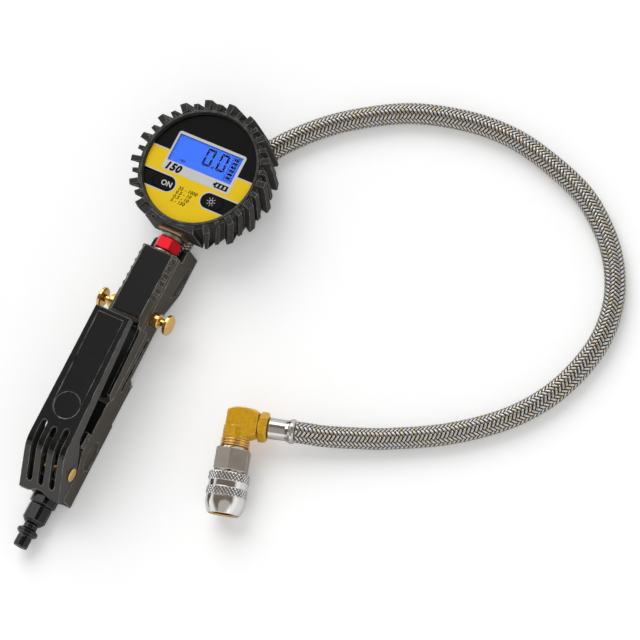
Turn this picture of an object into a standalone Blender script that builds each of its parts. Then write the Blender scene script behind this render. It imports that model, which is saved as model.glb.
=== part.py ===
"""A tyre inflator with a digital gauge, a squeeze lever and a braided hose.

The handle lies on its back along Y: +Y runs from the air inlet to the gauge, +Z is the side of
the gauge's face, and the table is Z = 0. Y = 0 is the handle's top edge until the last step, where
one empty carries the whole inflator to the middle of its own box. Sizes are in millimetres, and
add_solid turns them into metres.
"""
import math

import bmesh
import bpy
from mathutils import Matrix, Vector

MM = 0.001
GAP = 0.3                      # running or seating gap between two touching pieces
CUTTER_REACH = 60.0            # far end of a cutter that goes right through

# ---- handle body -----------------------------------------------------------------------------
HANDLE_LENGTH = 146.0          # from the top edge to the inlet end
BODY_HALF_TOP = 11.0           # half of its width at the top edge
BODY_HALF_END = 12.9           # half of its width at the inlet end
SPLIT_HEIGHT = 24.0            # where the front cover meets the body
CHANNEL_SPLIT = 17.7           # the same, under the lever channel
PLATE_LENGTH = 42.0            # the cover's flat plate, with the rounded step at its end
RAIL_LENGTH = 84.0             # from the top edge to the end of the cover's rails
GRIP_FRONT = 21.8              # front of the body below the rails
LEDGE_HEIGHT = 14.5            # ledge beside the pivot lugs
LEDGE_RUN = 1.55               # length of the slope down to the ledge, over its drop
LEDGE_LENGTH = 16.5            # of the ledge, up to the inlet end
WAIST_REAR = 9.7               # rear of the waist
WAIST_START = 27.9
WAIST_END = 70.0
SHROUD_REACH = 8.8             # the hose shroud reaches this far past the top edge
SHROUD_HEIGHT = 19.0
SHROUD_RAMP = 12.9             # where the shroud's flat rear ends
REAR_ROUND = 1.5               # rounding of the long rear edges
SPINE_HALF = 7.3               # half-width of the spine inside the front cover
SPINE_HEIGHT = 28.4
EAR_FROM_END = 38.0            # guide ears beside the plunger, from the inlet end
EAR_LENGTH = 8.7
EAR_HEIGHT = 26.0
EAR_THICKNESS = 2.2
GROOVE_WIDTH = 2.6             # grip groove along each side of the waist
GROOVE_DEPTH = 1.1
GROOVE_HEIGHT = 12.6
PANEL_DEPTH = 0.8              # sunk panel on each side of the shroud, and the bare badge recess
BADGE_FROM_END = 29.3          # middle of that recess, from the inlet end
BADGE_Z = 8.2
BADGE_HALF_LENGTH = 9.0
BADGE_HALF_HEIGHT = 5.6
SCREW_END = 19.0               # the cover screws' ends, in the floor of the cover's channel
SCREW_X = 5.0

# ---- front cover -----------------------------------------------------------------------------
PLATE_HEIGHT = 31.0
PLATE_HALF = 8.75              # half-width of the flat plate between its sloped sides
SLOPE_FOOT = 28.45             # where the sloped sides meet the body's side at the top edge
RAIL_TOP_START = 27.0
RAIL_TOP_END = 24.4
RAIL_WALL = 1.9
CHANNEL_FLOOR = 2.0
STEP_ROUND = 2.6               # rounded step from the plate into the channel
DIMPLE_SIZE = 3.0
DIMPLE_PITCH = 4.65
DIMPLE_COUNT = 6
DIMPLE_DEPTH = 0.7

# ---- lever -----------------------------------------------------------------------------------
LEVER_TIP_Y = -44.9
LEVER_TIP_Z = 46.3
LEVER_BEND_Y = 18.5 - HANDLE_LENGTH
LEVER_BEND_Z = 40.6
LEVER_END_Y = -HANDLE_LENGTH - 2.5
LEVER_END_Z = 19.0
LEVER_HALF_TIP = 10.8
LEVER_HALF_END = 12.75
LEVER_WALL = 2.0
LEVER_PLATE = 2.3
LEVER_FLANGE = 5.8             # depth of the side flange at the tip
BEND_ROUND = 13.0
CHEEK_HEIGHT = 15.2            # lower edge of the pivot cheeks
CHEEK_START = 16.5             # where that edge starts, from the inlet end
CHEEK_CORNER = (27.2, 25.9)    # upper corner of the cheeks' sloped front, from the inlet end
CHEEK_TOP = 31.9               # where the side flange meets the cheek
CHEEK_TOP_START = 31.2
SLOT_WIDTH = 3.5
SLOT_PITCH = 7.1
SLOT_START = 32.9              # the outer slots' upper and lower ends, from the inlet end
SLOT_END = 1.5
SLOT_DROP = 1.6                # the middle slot starts this much lower
PANEL_BORDER = 2.9             # border round the sunk front panel
PANEL_SINK = 0.6
THUMB_START = 44.5             # centre of the thumb dish, from the inlet end
THUMB_RADIUS = 7.6
THUMB_SINK = 0.4
PIVOT_Y = 14.0 - HANDLE_LENGTH
PIVOT_Z = 21.0
PIN_RADIUS = 2.0
PIN_HEAD_RADIUS = 4.0
PIN_HEAD = 1.0
LUG_OUTER = 8.2                # the two pivot lugs, measured from the middle
LUG_INNER = 5.0
LUG_ROUND = 5.4
INLET_ARCH = 9.8               # radius of the lever's cut-out round the inlet hexagon

# ---- inlet and its valve ---------------------------------------------------------------------
INLET_Z = 8.0
ADAPTER_FLATS = 14.5
ADAPTER_LENGTH = 6.0
ADAPTER_SPIGOT = 12.0
ADAPTER_SPIGOT_RADIUS = 5.5
PLUG_HEX_FLATS = 12.7
PLUG_HEX_LENGTH = 10.4
PLUG_COLLAR_RADIUS = 5.95
PLUG_TIP_RADIUS = 4.1
PLUG_NECK_RADIUS = 3.9
PLUG_NOSE_LENGTH = 14.8
AIR_RADIUS = 2.6
VALVE_Y = 35.0 - HANDLE_LENGTH
VALVE_RADIUS = 5.0             # valve chamber
VALVE_FLOOR = 2.5
SEAT_BOTTOM = 11.5
SEAT_THICKNESS = 2.4
STEM_RADIUS = 2.0
PAD_HEIGHT = 35.0              # underside of the lever's pad above the plunger
PAD_HALF = 3.2
POPPET_RADIUS = 3.6
POPPET_THICKNESS = 2.4
SPRING_WIRE = 0.7

# ---- bleed valve -----------------------------------------------------------------------------
BLEED_Y = 7.2 - PLATE_LENGTH   # above the lower end of the cover's plate
BLEED_Z = 19.4
BARREL_RADIUS = 4.25
BARREL_REACH = 16.0            # outer end of each barrel, from the middle
BARREL_DEPTH = 5.6             # inner end of each barrel
SPOOL_RADIUS = 2.2
LAND_RADIUS = 3.7
LAND_HALF = 2.0
BUTTON_RADIUS = 5.8
BUTTON_INNER = 20.0
BUTTON_THICKNESS = 2.4
BLEED_TRAVEL = 3.0

# ---- gauge -----------------------------------------------------------------------------------
CASE_RADIUS = 33.1
CASE_EDGE = 16.9               # from the handle's top edge to the case
GAUGE_Y = CASE_EDGE + CASE_RADIUS
FACE_Z = 33.0
FACE_RADIUS = CASE_RADIUS - 1.0   # what the boot leaves in view
CASE_WALL = 1.8
CASE_BACK = 14.6
CASE_FLOOR = 1.5
FRONT_THICKNESS = 2.8
WINDOW_HALF_WIDTH = 20.3
WINDOW_HALF_HEIGHT = 8.2
WINDOW_Y = 6.3                 # the window's centre, above the gauge's
BOARD_RADIUS = CASE_RADIUS - 4.9
BOARD_THICKNESS = 1.5
BOARD_Z = 27.3
CELL_RADIUS = 5.25             # AAA cell
CELL_LENGTH = 44.5
CELL_OFFSET = 3.0              # the pair's centre, above the gauge's
KEY_HALF_LENGTH = 6.6
KEY_HALF_HEIGHT = 3.8
KEY_X = 15.7
KEY_Y = -14.9
KEY_TRAVEL = 0.5
KEY_THICKNESS = 2.2
KEY_PROUD = 0.2
NUT_FLATS = 13.0
NUT_THICKNESS = 7.6
STEM_Z = 22.8
GAUGE_STEM_RADIUS = 4.2
STEM_DEPTH = 12.0
SOCKET_HALF = 7.0
SOCKET_START = 11.5
SOCKET_NECK = 4.8              # radius of its neck through the case wall

# ---- boot ------------------------------------------------------------------------------------
BOOT_BACK = 13.2
BOOT_FRONT = 36.0
GROOVE_RADIUS = CASE_RADIUS + 2.6
BIG_LUG_RADIUS = CASE_RADIUS + 7.1
SMALL_LUG_RADIUS = CASE_RADIUS + 5.3
BIB_DISTANCE = CASE_RADIUS + 3.3  # from the gauge's centre to the bib's flat bottom
LUG_COUNT = 15                 # big lugs, the middle one opposite the bib
LUG_PITCH = 20.8               # degrees from one big lug to the next
BIB_ANGLE = 23.0               # degrees that the bib reaches on each side of the socket
SHOULDER = 0.6                 # rounding at the front and back of the lugs
LEAN_FADE = 12.0               # degrees beside the bib over which the lugs' lean fades out
LUG_TWIST = 10.0               # degrees that a lug leans over the boot's depth
BACK_HOLE_RADIUS = CASE_RADIUS - 5.4

# ---- hose and chuck --------------------------------------------------------------------------
HOSE_RADIUS = 6.1
PORT_Y = -10.0
PORT_Z = 9.3
PORT_TILT = 7.0                # degrees that the hose port leans to the table
FERRULE_RADIUS = 6.8
FERRULE_LENGTH = 11.7
ELBOW_X = 82.95
ELBOW_Y = -68.3
HOSE_HEADING = 17.2            # the elbow's hose arm, in degrees from +X towards +Y
HOSE_DIP = 8.0                 # and below the level
CHUCK_DIP = 7.0               # the chuck's nose, in degrees below the level
BLOCK_HALF = 7.0                # half-height of the elbow's block
BLOCK_ARM_SIDE = 11.0          # from the chuck's axis to its face at the hose nut
BLOCK_BACK_SIDE = 6.0
BLOCK_TOP_SIDE = 8.4           # from the hose's axis to its end away from the chuck
BLOCK_LOW_SIDE = 7.6
HUB_RADIUS = 7.6               # round hub that the thread grows from
HUB_END = 8.4
END_CHAMFER = 2.4              # how far the turned ends cut into the block's corners
ARM_RADIUS = 5.0
ARM_LENGTH = 15.2
HOSE_NUT_FLATS = 14.5
HOSE_NUT_LENGTH = 5.0
FAR_FERRULE_LENGTH = 14.6
THREAD_RADIUS = 7.2
THREAD_END = 19.0
CHUCK_HEX_FLATS = 17.5
CHUCK_HEX_START = 13.5
CHUCK_HEX_END = 27.3
BARREL_TUBE_RADIUS = 8.5
FLANGE_RADIUS = 9.6
FLANGE_START = 39.6
FLANGE_END = 40.4
KNURL_RADIUS = 11.2
KNURL_GROOVE_RADIUS = 10.75
NOSE_RADIUS = 8.7              # at the sleeve's mouth
NOSE_SHOULDER = 11.0           # widest part of the nose
NOSE_STRAIGHT = 2.6
JAW_OUTER = 7.6
SLEEVE_END = 50.0
KNURL_END = 13.0               # end of the second knurled ring, from the sleeve's start
SLEEVE_START = CHUCK_HEX_END + GAP
SLEEVE_TRAVEL = 4.0
JAW_INNER = 6.2

# ---- materials: colour, roughness, metallic --------------------------------------------------
BLACK_COATING = ((0.012, 0.012, 0.013), 0.45, 0.0)
BLACK_PLASTIC = ((0.015, 0.015, 0.016), 0.40, 0.0)
BLACK_STEEL = ((0.010, 0.010, 0.011), 0.25, 0.6)
CHARCOAL_RUBBER = ((0.030, 0.030, 0.032), 0.75, 0.0)
SOFT_RUBBER = ((0.015, 0.015, 0.015), 0.80, 0.0)
BRASS = ((0.72, 0.43, 0.10), 0.25, 1.0)
RED_ANODISED = ((0.60, 0.01, 0.03), 0.25, 0.9)
STEEL = ((0.55, 0.55, 0.55), 0.30, 1.0)
CHROME = ((0.75, 0.75, 0.76), 0.12, 1.0)
BRAID = ((0.50, 0.50, 0.50), 0.40, 0.9)
CLEAR = ((0.80, 0.85, 0.90), 0.05, 0.0)
LCD_BLUE = ((0.03, 0.12, 0.85), 0.20, 0.0)
BOARD_GREEN = ((0.02, 0.15, 0.06), 0.50, 0.0)
LABEL_YELLOW = ((0.80, 0.58, 0.02), 0.35, 0.0)
CELL_WRAP = ((0.10, 0.10, 0.12), 0.35, 0.0)
WHITE_PLASTIC = ((0.80, 0.80, 0.80), 0.40, 0.0)


# ---- helpers ---------------------------------------------------------------------------------
def clear_scene():
    for obj in list(bpy.data.objects):
        bpy.data.objects.remove(obj, do_unlink=True)


def new_material(name, finish):
    colour, roughness, metallic = finish
    material = bpy.data.materials.new(name)
    material.use_nodes = True
    shader = material.node_tree.nodes["Principled BSDF"]
    shader.inputs["Base Color"].default_value = (*colour, 1.0)
    shader.inputs["Roughness"].default_value = roughness
    shader.inputs["Metallic"].default_value = metallic
    return material


def add_empty(name, place, parent=None, turn=None):
    """An empty that carries pieces. place is in millimetres, turn a rotation matrix."""
    empty = bpy.data.objects.new(name, None)
    bpy.context.collection.objects.link(empty)
    empty.parent = parent
    empty.location = Vector(place) * MM
    if turn is not None:
        empty.rotation_euler = turn.to_euler()
    return empty


def add_solid(name, bm, finish, parent, pivot=(0.0, 0.0, 0.0)):
    """Turns a mesh in millimetres into a named object whose origin is at pivot."""
    bmesh.ops.recalc_face_normals(bm, faces=bm.faces)
    bmesh.ops.translate(bm, verts=bm.verts, vec=-Vector(pivot))
    bmesh.ops.scale(bm, verts=bm.verts, vec=(MM, MM, MM))
    mesh = bpy.data.meshes.new(name)
    bm.to_mesh(mesh)
    bm.free()
    mesh.materials.append(new_material(name, finish))
    mesh.shade_smooth()
    mesh.set_sharp_from_angle(angle=math.radians(35.0))
    obj = bpy.data.objects.new(name, mesh)
    bpy.context.collection.objects.link(obj)
    obj.parent = parent
    obj.location = Vector(pivot) * MM
    return obj


def combine(target, label, bm, operation, parent=None):
    """Cuts the mesh bm from target, or joins it on, with a Boolean that stays on the object."""
    tool = add_solid(f"{target.name}_{label}", bm, BLACK_PLASTIC, parent or target.parent)
    tool.hide_render = True
    tool.display_type = "WIRE"
    modifier = target.modifiers.new(label, "BOOLEAN")
    modifier.operation = operation
    modifier.solver = "EXACT"
    modifier.object = tool


def cut(target, label, bm, parent=None):
    combine(target, label, bm, "DIFFERENCE", parent)


def join(target, label, bm):
    combine(target, label, bm, "UNION")


def on_axis(axis, u, v, w):
    """The point that is w along the axis and (u, v) across it."""
    if axis == "X":
        return (w, u, v)
    if axis == "Y":
        return (u, w, v)
    return (u, v, w)


def prism(outline, axis, start, end):
    """outline holds (Y, Z) for axis X, (X, Z) for axis Y and (X, Y) for axis Z."""
    bm = bmesh.new()
    near = [bm.verts.new(on_axis(axis, u, v, start)) for u, v in outline]
    far = [bm.verts.new(on_axis(axis, u, v, end)) for u, v in outline]
    bm.faces.new(near)
    bm.faces.new(far)
    for i in range(len(outline)):
        j = (i + 1) % len(outline)
        bm.faces.new((near[i], near[j], far[j], far[i]))
    return bm


def block(low, high):
    """A box between two opposite corners."""
    outline = [(low[0], low[1]), (high[0], low[1]), (high[0], high[1]), (low[0], high[1])]
    return prism(outline, "Z", low[2], high[2])


def merged(parts):
    """One mesh of several separate closed ones, for cutters that don't meet."""
    whole = bmesh.new()
    for part in parts:
        mesh = bpy.data.meshes.new("part")
        part.to_mesh(mesh)
        part.free()
        whole.from_mesh(mesh)
        bpy.data.meshes.remove(mesh)
    return whole


def tapered(outline, half_top, half_end, length, inset=0.0, rear_round=0.0):
    """A side outline of (Y, Z) points, as wide as the handle is at each Y, less the inset."""
    bm = prism(outline, "X", -1.0, 1.0)
    if rear_round:
        rear = [e for e in bm.edges if side_edge(e) and max(v.co.z for v in e.verts) < WAIST_REAR + 1.0]
        widen(bm, half_top, half_end, length, inset)
        bmesh.ops.bevel(bm, geom=rear, offset=rear_round, segments=2, profile=0.5, affect="EDGES")
        return bm
    widen(bm, half_top, half_end, length, inset)
    return bm


def side_edge(edge):
    """True for an edge that lies in one of the prism's two side faces."""
    first, second = edge.verts
    return abs(first.co.x - second.co.x) < 0.1


def widen(bm, half_top, half_end, length, inset):
    for vert in bm.verts:
        share = -vert.co.y / length
        half = half_top + (half_end - half_top) * share - inset
        vert.co.x = math.copysign(half, vert.co.x)


def turned(profile, axis, centre, segments=24, phase=0.0):
    """A lathe shape. profile lists (radius, place along the axis) and, for a hexagonal step,
    (half of the width across flats, place, "hex"). With no point on the axis it is a tube."""
    bm = bmesh.new()
    rings = []
    for step in profile:
        rings.append(lathe_ring(bm, step, axis, centre, segments, phase))
    pairs = list(zip(rings, rings[1:]))
    if len(rings[0]) > 1 and len(rings[-1]) > 1:
        pairs.append((rings[-1], rings[0]))
    for a, b in pairs:
        bridge(bm, a, b, segments)
    return bm


def lathe_ring(bm, step, axis, centre, segments, phase):
    radius, along = step[0], step[1]
    if radius < 1e-6:
        return [bm.verts.new(on_axis(axis, centre[0], centre[1], along))]
    ring = []
    for i in range(segments):
        angle = math.tau * i / segments
        reach = radius
        if len(step) == 3:
            reach = radius / math.cos((angle + math.pi / 6) % (math.pi / 3) - math.pi / 6)
        u = centre[0] + reach * math.cos(angle + phase)
        v = centre[1] + reach * math.sin(angle + phase)
        ring.append(bm.verts.new(on_axis(axis, u, v, along)))
    return ring


def bridge(bm, a, b, segments):
    for i in range(segments):
        j = (i + 1) % segments
        corners = [a[i % len(a)], a[j % len(a)], b[j % len(b)], b[i % len(b)]]
        unique = list(dict.fromkeys(corners))
        bm.faces.new(unique)


def tube(outer, inner, start, end):
    """The profile of a plain tube."""
    return [(outer, start), (outer, end), (inner, end), (inner, start)]


def rod(radius, start, end):
    """The profile of a plain solid cylinder."""
    return [(0.0, start), (radius, start), (radius, end), (0.0, end)]


def ring_profile(middle, thickness, start, steps=6):
    """The profile of an O-ring whose lowest point along the axis is start."""
    half = thickness / 2
    points = []
    for i in range(steps):
        angle = math.tau * i / steps
        points.append((middle + half * math.cos(angle), start + half + half * math.sin(angle)))
    return points


def rounded(corners, steps=4):
    """An outline whose corners are (u, v, radius), each turned into an arc."""
    points = []
    for i, (u, v, radius) in enumerate(corners):
        here = Vector((u, v))
        back = (Vector(corners[i - 1][:2]) - here).normalized()
        ahead = (Vector(corners[(i + 1) % len(corners)][:2]) - here).normalized()
        if radius == 0.0:
            points.append((u, v))
            continue
        half = back.angle(ahead) / 2
        centre = here + (back + ahead).normalized() * radius / math.sin(half)
        first = here + back * radius / math.tan(half) - centre
        last = here + ahead * radius / math.tan(half) - centre
        sweep = first.angle_signed(last)
        for k in range(steps + 1):
            arm = first.copy()
            arm.rotate(Matrix.Rotation(-sweep * k / steps, 2))
            points.append(tuple(centre + arm))
    return points


def stadium(half_length, half_height, centre=(0.0, 0.0), steps=4):
    """A slot's outline, long along its first coordinate."""
    points = []
    for side in (1, -1):
        for k in range(steps + 1):
            angle = side * math.pi * (k / steps - 0.5) if side == 1 else math.pi * (k / steps + 0.5)
            u = centre[0] + side * (half_length - half_height) + half_height * math.cos(angle)
            points.append((u, centre[1] + half_height * math.sin(angle)))
    return points


def add_wire(name, points, radius, finish, parent, resolution):
    """A tube along points in millimetres, with closed ends."""
    curve = bpy.data.curves.new(name, "CURVE")
    curve.dimensions = "3D"
    curve.bevel_depth = radius * MM
    curve.bevel_resolution = resolution
    curve.use_fill_caps = True
    spline = curve.splines.new("POLY")
    spline.points.add(len(points) - 1)
    for target, point in zip(spline.points, points):
        target.co = (*(Vector(point) * MM), 1.0)
    curve.materials.append(new_material(name, finish))
    obj = bpy.data.objects.new(name, curve)
    bpy.context.collection.objects.link(obj)
    obj.parent = parent
    return obj


def coil_points(axis, centre, radius, start, end, turns, per_turn=9):
    """The centre line of a coil spring."""
    points = []
    for i in range(int(turns * per_turn) + 1):
        share = i / (turns * per_turn)
        angle = math.tau * turns * share
        u = centre[0] + radius * math.cos(angle)
        v = centre[1] + radius * math.sin(angle)
        points.append(on_axis(axis, u, v, start + (end - start) * share))
    return points


def report_coil_gap(name, length, turns, wire):
    print(f"{name}: least gap between turns {length / turns - wire:.2f} mm")


# ---- handle body -----------------------------------------------------------------------------
def body_half(y):
    """Half of the handle's width at Y."""
    return BODY_HALF_TOP + (BODY_HALF_END - BODY_HALF_TOP) * -y / HANDLE_LENGTH


def body_outline():
    """The casting from the side: a flat foot, a waist, the shroud's bulge and the cover's seat."""
    cover_end = -(RAIL_LENGTH + GAP)
    grip_rise = GRIP_FRONT - CHANNEL_SPLIT
    ledge_drop = GRIP_FRONT - LEDGE_HEIGHT
    ledge_start = LEDGE_LENGTH - HANDLE_LENGTH
    return [
        (-HANDLE_LENGTH, 0.0),
        (-WAIST_END, 0.0),
        (-WAIST_END, WAIST_REAR),
        (-WAIST_START, WAIST_REAR),
        (-SHROUD_RAMP, 0.0),
        (SHROUD_REACH, 0.0),
        (SHROUD_REACH, SHROUD_HEIGHT - 2.0),
        (SHROUD_REACH - 2.0, SHROUD_HEIGHT),
        (0.0, SHROUD_HEIGHT),
        (0.0, SPLIT_HEIGHT),
        (-(PLATE_LENGTH + 1.7), SPLIT_HEIGHT),
        (-(PLATE_LENGTH + 1.7), CHANNEL_SPLIT),
        (cover_end, CHANNEL_SPLIT),
        (cover_end - grip_rise, GRIP_FRONT),
        (ledge_start + ledge_drop * LEDGE_RUN, GRIP_FRONT),
        (ledge_start, LEDGE_HEIGHT),
        (-HANDLE_LENGTH, LEDGE_HEIGHT),
    ]


def lug_outline():
    """One pivot lug from the side: straight flanks under a round top."""
    points = [(PIVOT_Y - LUG_ROUND, LEDGE_HEIGHT - 1.0)]
    for k in range(9):
        angle = math.pi * (1.0 - k / 8)
        points.append((PIVOT_Y + LUG_ROUND * math.cos(angle), PIVOT_Z + LUG_ROUND * math.sin(angle)))
    points.append((PIVOT_Y + LUG_ROUND, LEDGE_HEIGHT - 1.0))
    return points


def body_side_details():
    """Cutters for the grip groove, the rear scallop and the sunk panel, on both sides."""
    parts = []
    groove_middle = -(PLATE_LENGTH + 3.0 + WAIST_END + 8.0) / 2
    groove_half = (WAIST_END + 8.0 - PLATE_LENGTH - 3.0) / 2
    groove = stadium(groove_half, GROOVE_WIDTH / 2, (groove_middle, GROOVE_HEIGHT))
    scallop = [(-WAIST_END - 1.5, -1.0), (-WAIST_END - 1.5, 5.6), (-WAIST_END - 20.0, 5.6),
               (-WAIST_END - 24.0, 4.2), (-WAIST_END - 27.0, -1.0)]
    panel = [(SHROUD_REACH - 6.0, 2.6), (SHROUD_REACH - 8.5, 8.4), (-SHROUD_RAMP - 6.0, 11.8),
             (-SHROUD_RAMP - 2.0, 4.4)]
    badge = stadium(BADGE_HALF_LENGTH, BADGE_HALF_HEIGHT, (BADGE_FROM_END - HANDLE_LENGTH, BADGE_Z))
    details = ((groove, GROOVE_DEPTH), (scallop, GROOVE_DEPTH), (panel, PANEL_DEPTH), (badge, PANEL_DEPTH))
    for outline, depth in details:
        middle = sum(y for y, z in outline) / len(outline)
        inner = body_half(middle) - depth
        parts.append(prism(outline, "X", inner, inner + 5.0))
        parts.append(prism(outline, "X", -inner - 5.0, -inner))
    return merged(parts)


def make_body(parent, port):
    bm = tapered(body_outline(), BODY_HALF_TOP, BODY_HALF_END, HANDLE_LENGTH, rear_round=REAR_ROUND)
    body = add_solid("main_body", bm, BLACK_COATING, parent)
    spine_end = -(PLATE_LENGTH - 2.0)
    spine = block((-SPINE_HALF, spine_end, SPLIT_HEIGHT - 3.0), (SPINE_HALF, -0.4, SPINE_HEIGHT))
    join(body, "spine", spine)
    join(body, "lugs", prism(lug_outline(), "X", -LUG_OUTER, LUG_OUTER))
    ear_start = EAR_FROM_END - HANDLE_LENGTH
    for side in (-1, 1):
        outer = side * (body_half(ear_start) - 0.15)
        inner = outer - side * EAR_THICKNESS
        low = (min(outer, inner), ear_start - EAR_LENGTH, GRIP_FRONT - 1.0)
        high = (max(outer, inner), ear_start, EAR_HEIGHT)
        join(body, f"ear_{'right' if side > 0 else 'left'}", block(low, high))
    slot_low = (-LUG_INNER, PIVOT_Y - LUG_ROUND - 2.0, LEDGE_HEIGHT + 1.5)
    slot_high = (LUG_INNER, PIVOT_Y + LUG_ROUND + 2.0, PIVOT_Z + LUG_ROUND + 2.0)
    cut(body, "spring_slot", block(slot_low, slot_high))
    cut(body, "side_details", body_side_details())
    cut(body, "pin_hole", turned(rod(PIN_RADIUS + GAP, -12.0, 12.0), "X", (PIVOT_Y, PIVOT_Z), 12))
    cut_air_passages(body, port)
    cut_screw_holes(body)
    return body


def cut_air_passages(body, port):
    """Inlet, valve chamber, bleed cross bore, gauge port and hose port, linked by one gallery."""
    spigot = ADAPTER_SPIGOT_RADIUS + GAP
    inlet = [(0.0, -HANDLE_LENGTH - 1.0), (spigot, -HANDLE_LENGTH - 1.0),
             (spigot, -HANDLE_LENGTH + ADAPTER_SPIGOT + GAP),
             (AIR_RADIUS + GAP, -HANDLE_LENGTH + ADAPTER_SPIGOT + GAP), (AIR_RADIUS + GAP, VALVE_Y),
             (0.0, VALVE_Y)]
    cut(body, "inlet", turned(inlet, "Y", (0.0, INLET_Z), 24))
    cut(body, "valve_chamber", turned(rod(VALVE_RADIUS, VALVE_FLOOR, CUTTER_REACH), "Z", (0.0, VALVE_Y), 16))
    gallery_z = SEAT_BOTTOM + SEAT_THICKNESS + 0.9
    gallery = turned(rod(1.5, VALVE_Y, -STEM_DEPTH + 2.0), "Y", (0.0, gallery_z), 8, math.pi / 8)
    cut(body, "gallery", gallery)
    bore = BARREL_RADIUS + GAP
    cut(body, "bleed_bore", turned(rod(bore, -CUTTER_REACH, CUTTER_REACH), "X", (BLEED_Y, BLEED_Z), 16))
    gauge_port = rod(GAUGE_STEM_RADIUS + GAP, -STEM_DEPTH - GAP, 5.0)
    cut(body, "gauge_port", turned(gauge_port, "Y", (0.0, STEM_Z), 16))
    cut(body, "riser", turned(rod(1.5, PORT_Z, STEM_Z), "Z", (0.0, -STEM_DEPTH + 1.0), 8))
    cut(body, "hose_port", turned(rod(FERRULE_RADIUS + GAP, 0.0, CUTTER_REACH), "Z", (0.0, 0.0), 24), port)
    mouth = FERRULE_RADIUS + GAP
    cut(body, "shroud_mouth", block((-mouth, 0.0, -5.0), (mouth, SHROUD_REACH + 5.0, 40.0)))


def cut_screw_holes(body):
    """Holes from the rear of the waist for the two cover screws."""
    cut(body, "screw_holes", screw_hole_cutters(22.0))


def screw_hole_cutters(end):
    parts = []
    for x, y in screw_places():
        profile = [(0.0, WAIST_REAR - 2.0), (2.8 + GAP, WAIST_REAR - 2.0), (2.8 + GAP, WAIST_REAR + 1.9),
                   (1.3 + GAP, WAIST_REAR + 1.9), (1.3 + GAP, end), (0.0, end)]
        parts.append(turned(profile, "Z", (x, y), 12))
    return merged(parts)


def screw_places():
    """One screw on each side of the air gallery."""
    return (SCREW_X, -(PLATE_LENGTH + 8.0)), (-SCREW_X, -(WAIST_END - 4.0))


def make_cover_screws(parent):
    """Two countersunk screws from the rear."""
    for label, (x, y) in zip(("upper", "lower"), screw_places()):
        profile = [(0.0, WAIST_REAR + 0.9), (1.0, WAIST_REAR + 0.9), (1.0, WAIST_REAR + 0.2),
                   (2.8, WAIST_REAR + 0.2), (2.8, WAIST_REAR + 1.2), (1.3, WAIST_REAR + 1.6),
                   (1.3, SCREW_END), (0.0, SCREW_END)]
        bm = turned(profile, "Z", (x, y), 12)
        add_solid(f"cover_screw_{label}", bm, BLACK_STEEL, parent)


# ---- front cover -----------------------------------------------------------------------------
def cover_outline():
    """The cover from the side: plate, rounded step and the two rails' falling edge."""
    split = SPLIT_HEIGHT + GAP
    step = -(PLATE_LENGTH + 2.0)
    return [
        (0.0, split),
        (step, split),
        (step, CHANNEL_SPLIT + GAP),
        (-RAIL_LENGTH, CHANNEL_SPLIT + GAP),
        (-RAIL_LENGTH - 2.0, CHANNEL_SPLIT + GAP + 2.0),
        (-RAIL_LENGTH, RAIL_TOP_END),
        (-(PLATE_LENGTH + 7.5), RAIL_TOP_START),
        (-(PLATE_LENGTH + 3.0), RAIL_TOP_START + 1.2),
        (-PLATE_LENGTH, PLATE_HEIGHT),
        (-0.8, PLATE_HEIGHT),
        (0.0, PLATE_HEIGHT - 0.8),
    ]


def channel_cutter():
    """The lever's channel between the rails, with a rounded step up to the plate."""
    floor = CHANNEL_SPLIT + GAP + CHANNEL_FLOOR
    top = PLATE_HEIGHT + 6.0
    outline = [(-PLATE_LENGTH + STEP_ROUND, top)]
    for k in range(5):
        angle = math.pi / 2 * (1.0 - k / 4)
        outline.append((-PLATE_LENGTH + STEP_ROUND - STEP_ROUND * math.cos(angle),
                        PLATE_HEIGHT - STEP_ROUND + STEP_ROUND * math.sin(angle)))
    outline.append((-PLATE_LENGTH, floor))
    outline.append((-RAIL_LENGTH - 8.0, floor))
    outline.append((-RAIL_LENGTH - 8.0, top))
    return tapered(outline, BODY_HALF_TOP, BODY_HALF_END, HANDLE_LENGTH, inset=RAIL_WALL)


def on_slope(share, out):
    """The (X, Z) point that share of the way down the sloped strip, and out mm above it."""
    run = BODY_HALF_TOP - PLATE_HALF
    fall = PLATE_HEIGHT - SLOPE_FOOT
    length = math.hypot(run, fall)
    return PLATE_HALF + run * share + out * fall / length, PLATE_HEIGHT - fall * share + out * run / length


def dimple_cutters():
    """Square pockets along each sloped side, open to its outer edge."""
    section = [on_slope(0.3, -DIMPLE_DEPTH), on_slope(1.4, -DIMPLE_DEPTH),
               on_slope(1.4, 2.0), on_slope(0.3, 2.0)]
    half = DIMPLE_SIZE / 2
    parts = []
    for i in range(DIMPLE_COUNT):
        y = -3.0 - DIMPLE_PITCH * i
        for side in (-1, 1):
            parts.append(prism([(side * x, z) for x, z in section], "Y", y - half, y + half))
    return merged(parts)


def slope_cutters():
    """What is cut off beside the flat plate, from its edge down to the body's side."""
    section = [on_slope(-0.5, 0.0), on_slope(2.5, 0.0), on_slope(2.5, 8.0), on_slope(-0.5, 8.0)]
    parts = []
    for side in (-1, 1):
        parts.append(prism([(side * x, z) for x, z in section], "Y", -(PLATE_LENGTH + 3.0), 2.0))
    return merged(parts)


def make_cover(parent):
    bm = tapered(cover_outline(), BODY_HALF_TOP, BODY_HALF_END, HANDLE_LENGTH)
    cover = add_solid("front_cover", bm, BLACK_COATING, parent)
    cut(cover, "sloped_sides", slope_cutters())
    cut(cover, "channel", channel_cutter())
    pocket = SPINE_HALF + GAP
    pocket_end = -(PLATE_LENGTH - 2.0) - GAP
    cut(cover, "spine_pocket", block((-pocket, pocket_end, 15.0), (pocket, 3.0, SPINE_HEIGHT + GAP)))
    cut(cover, "dimples", dimple_cutters())
    cut(cover, "screw_holes", screw_hole_cutters(SCREW_END + GAP))
    return cover


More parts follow.
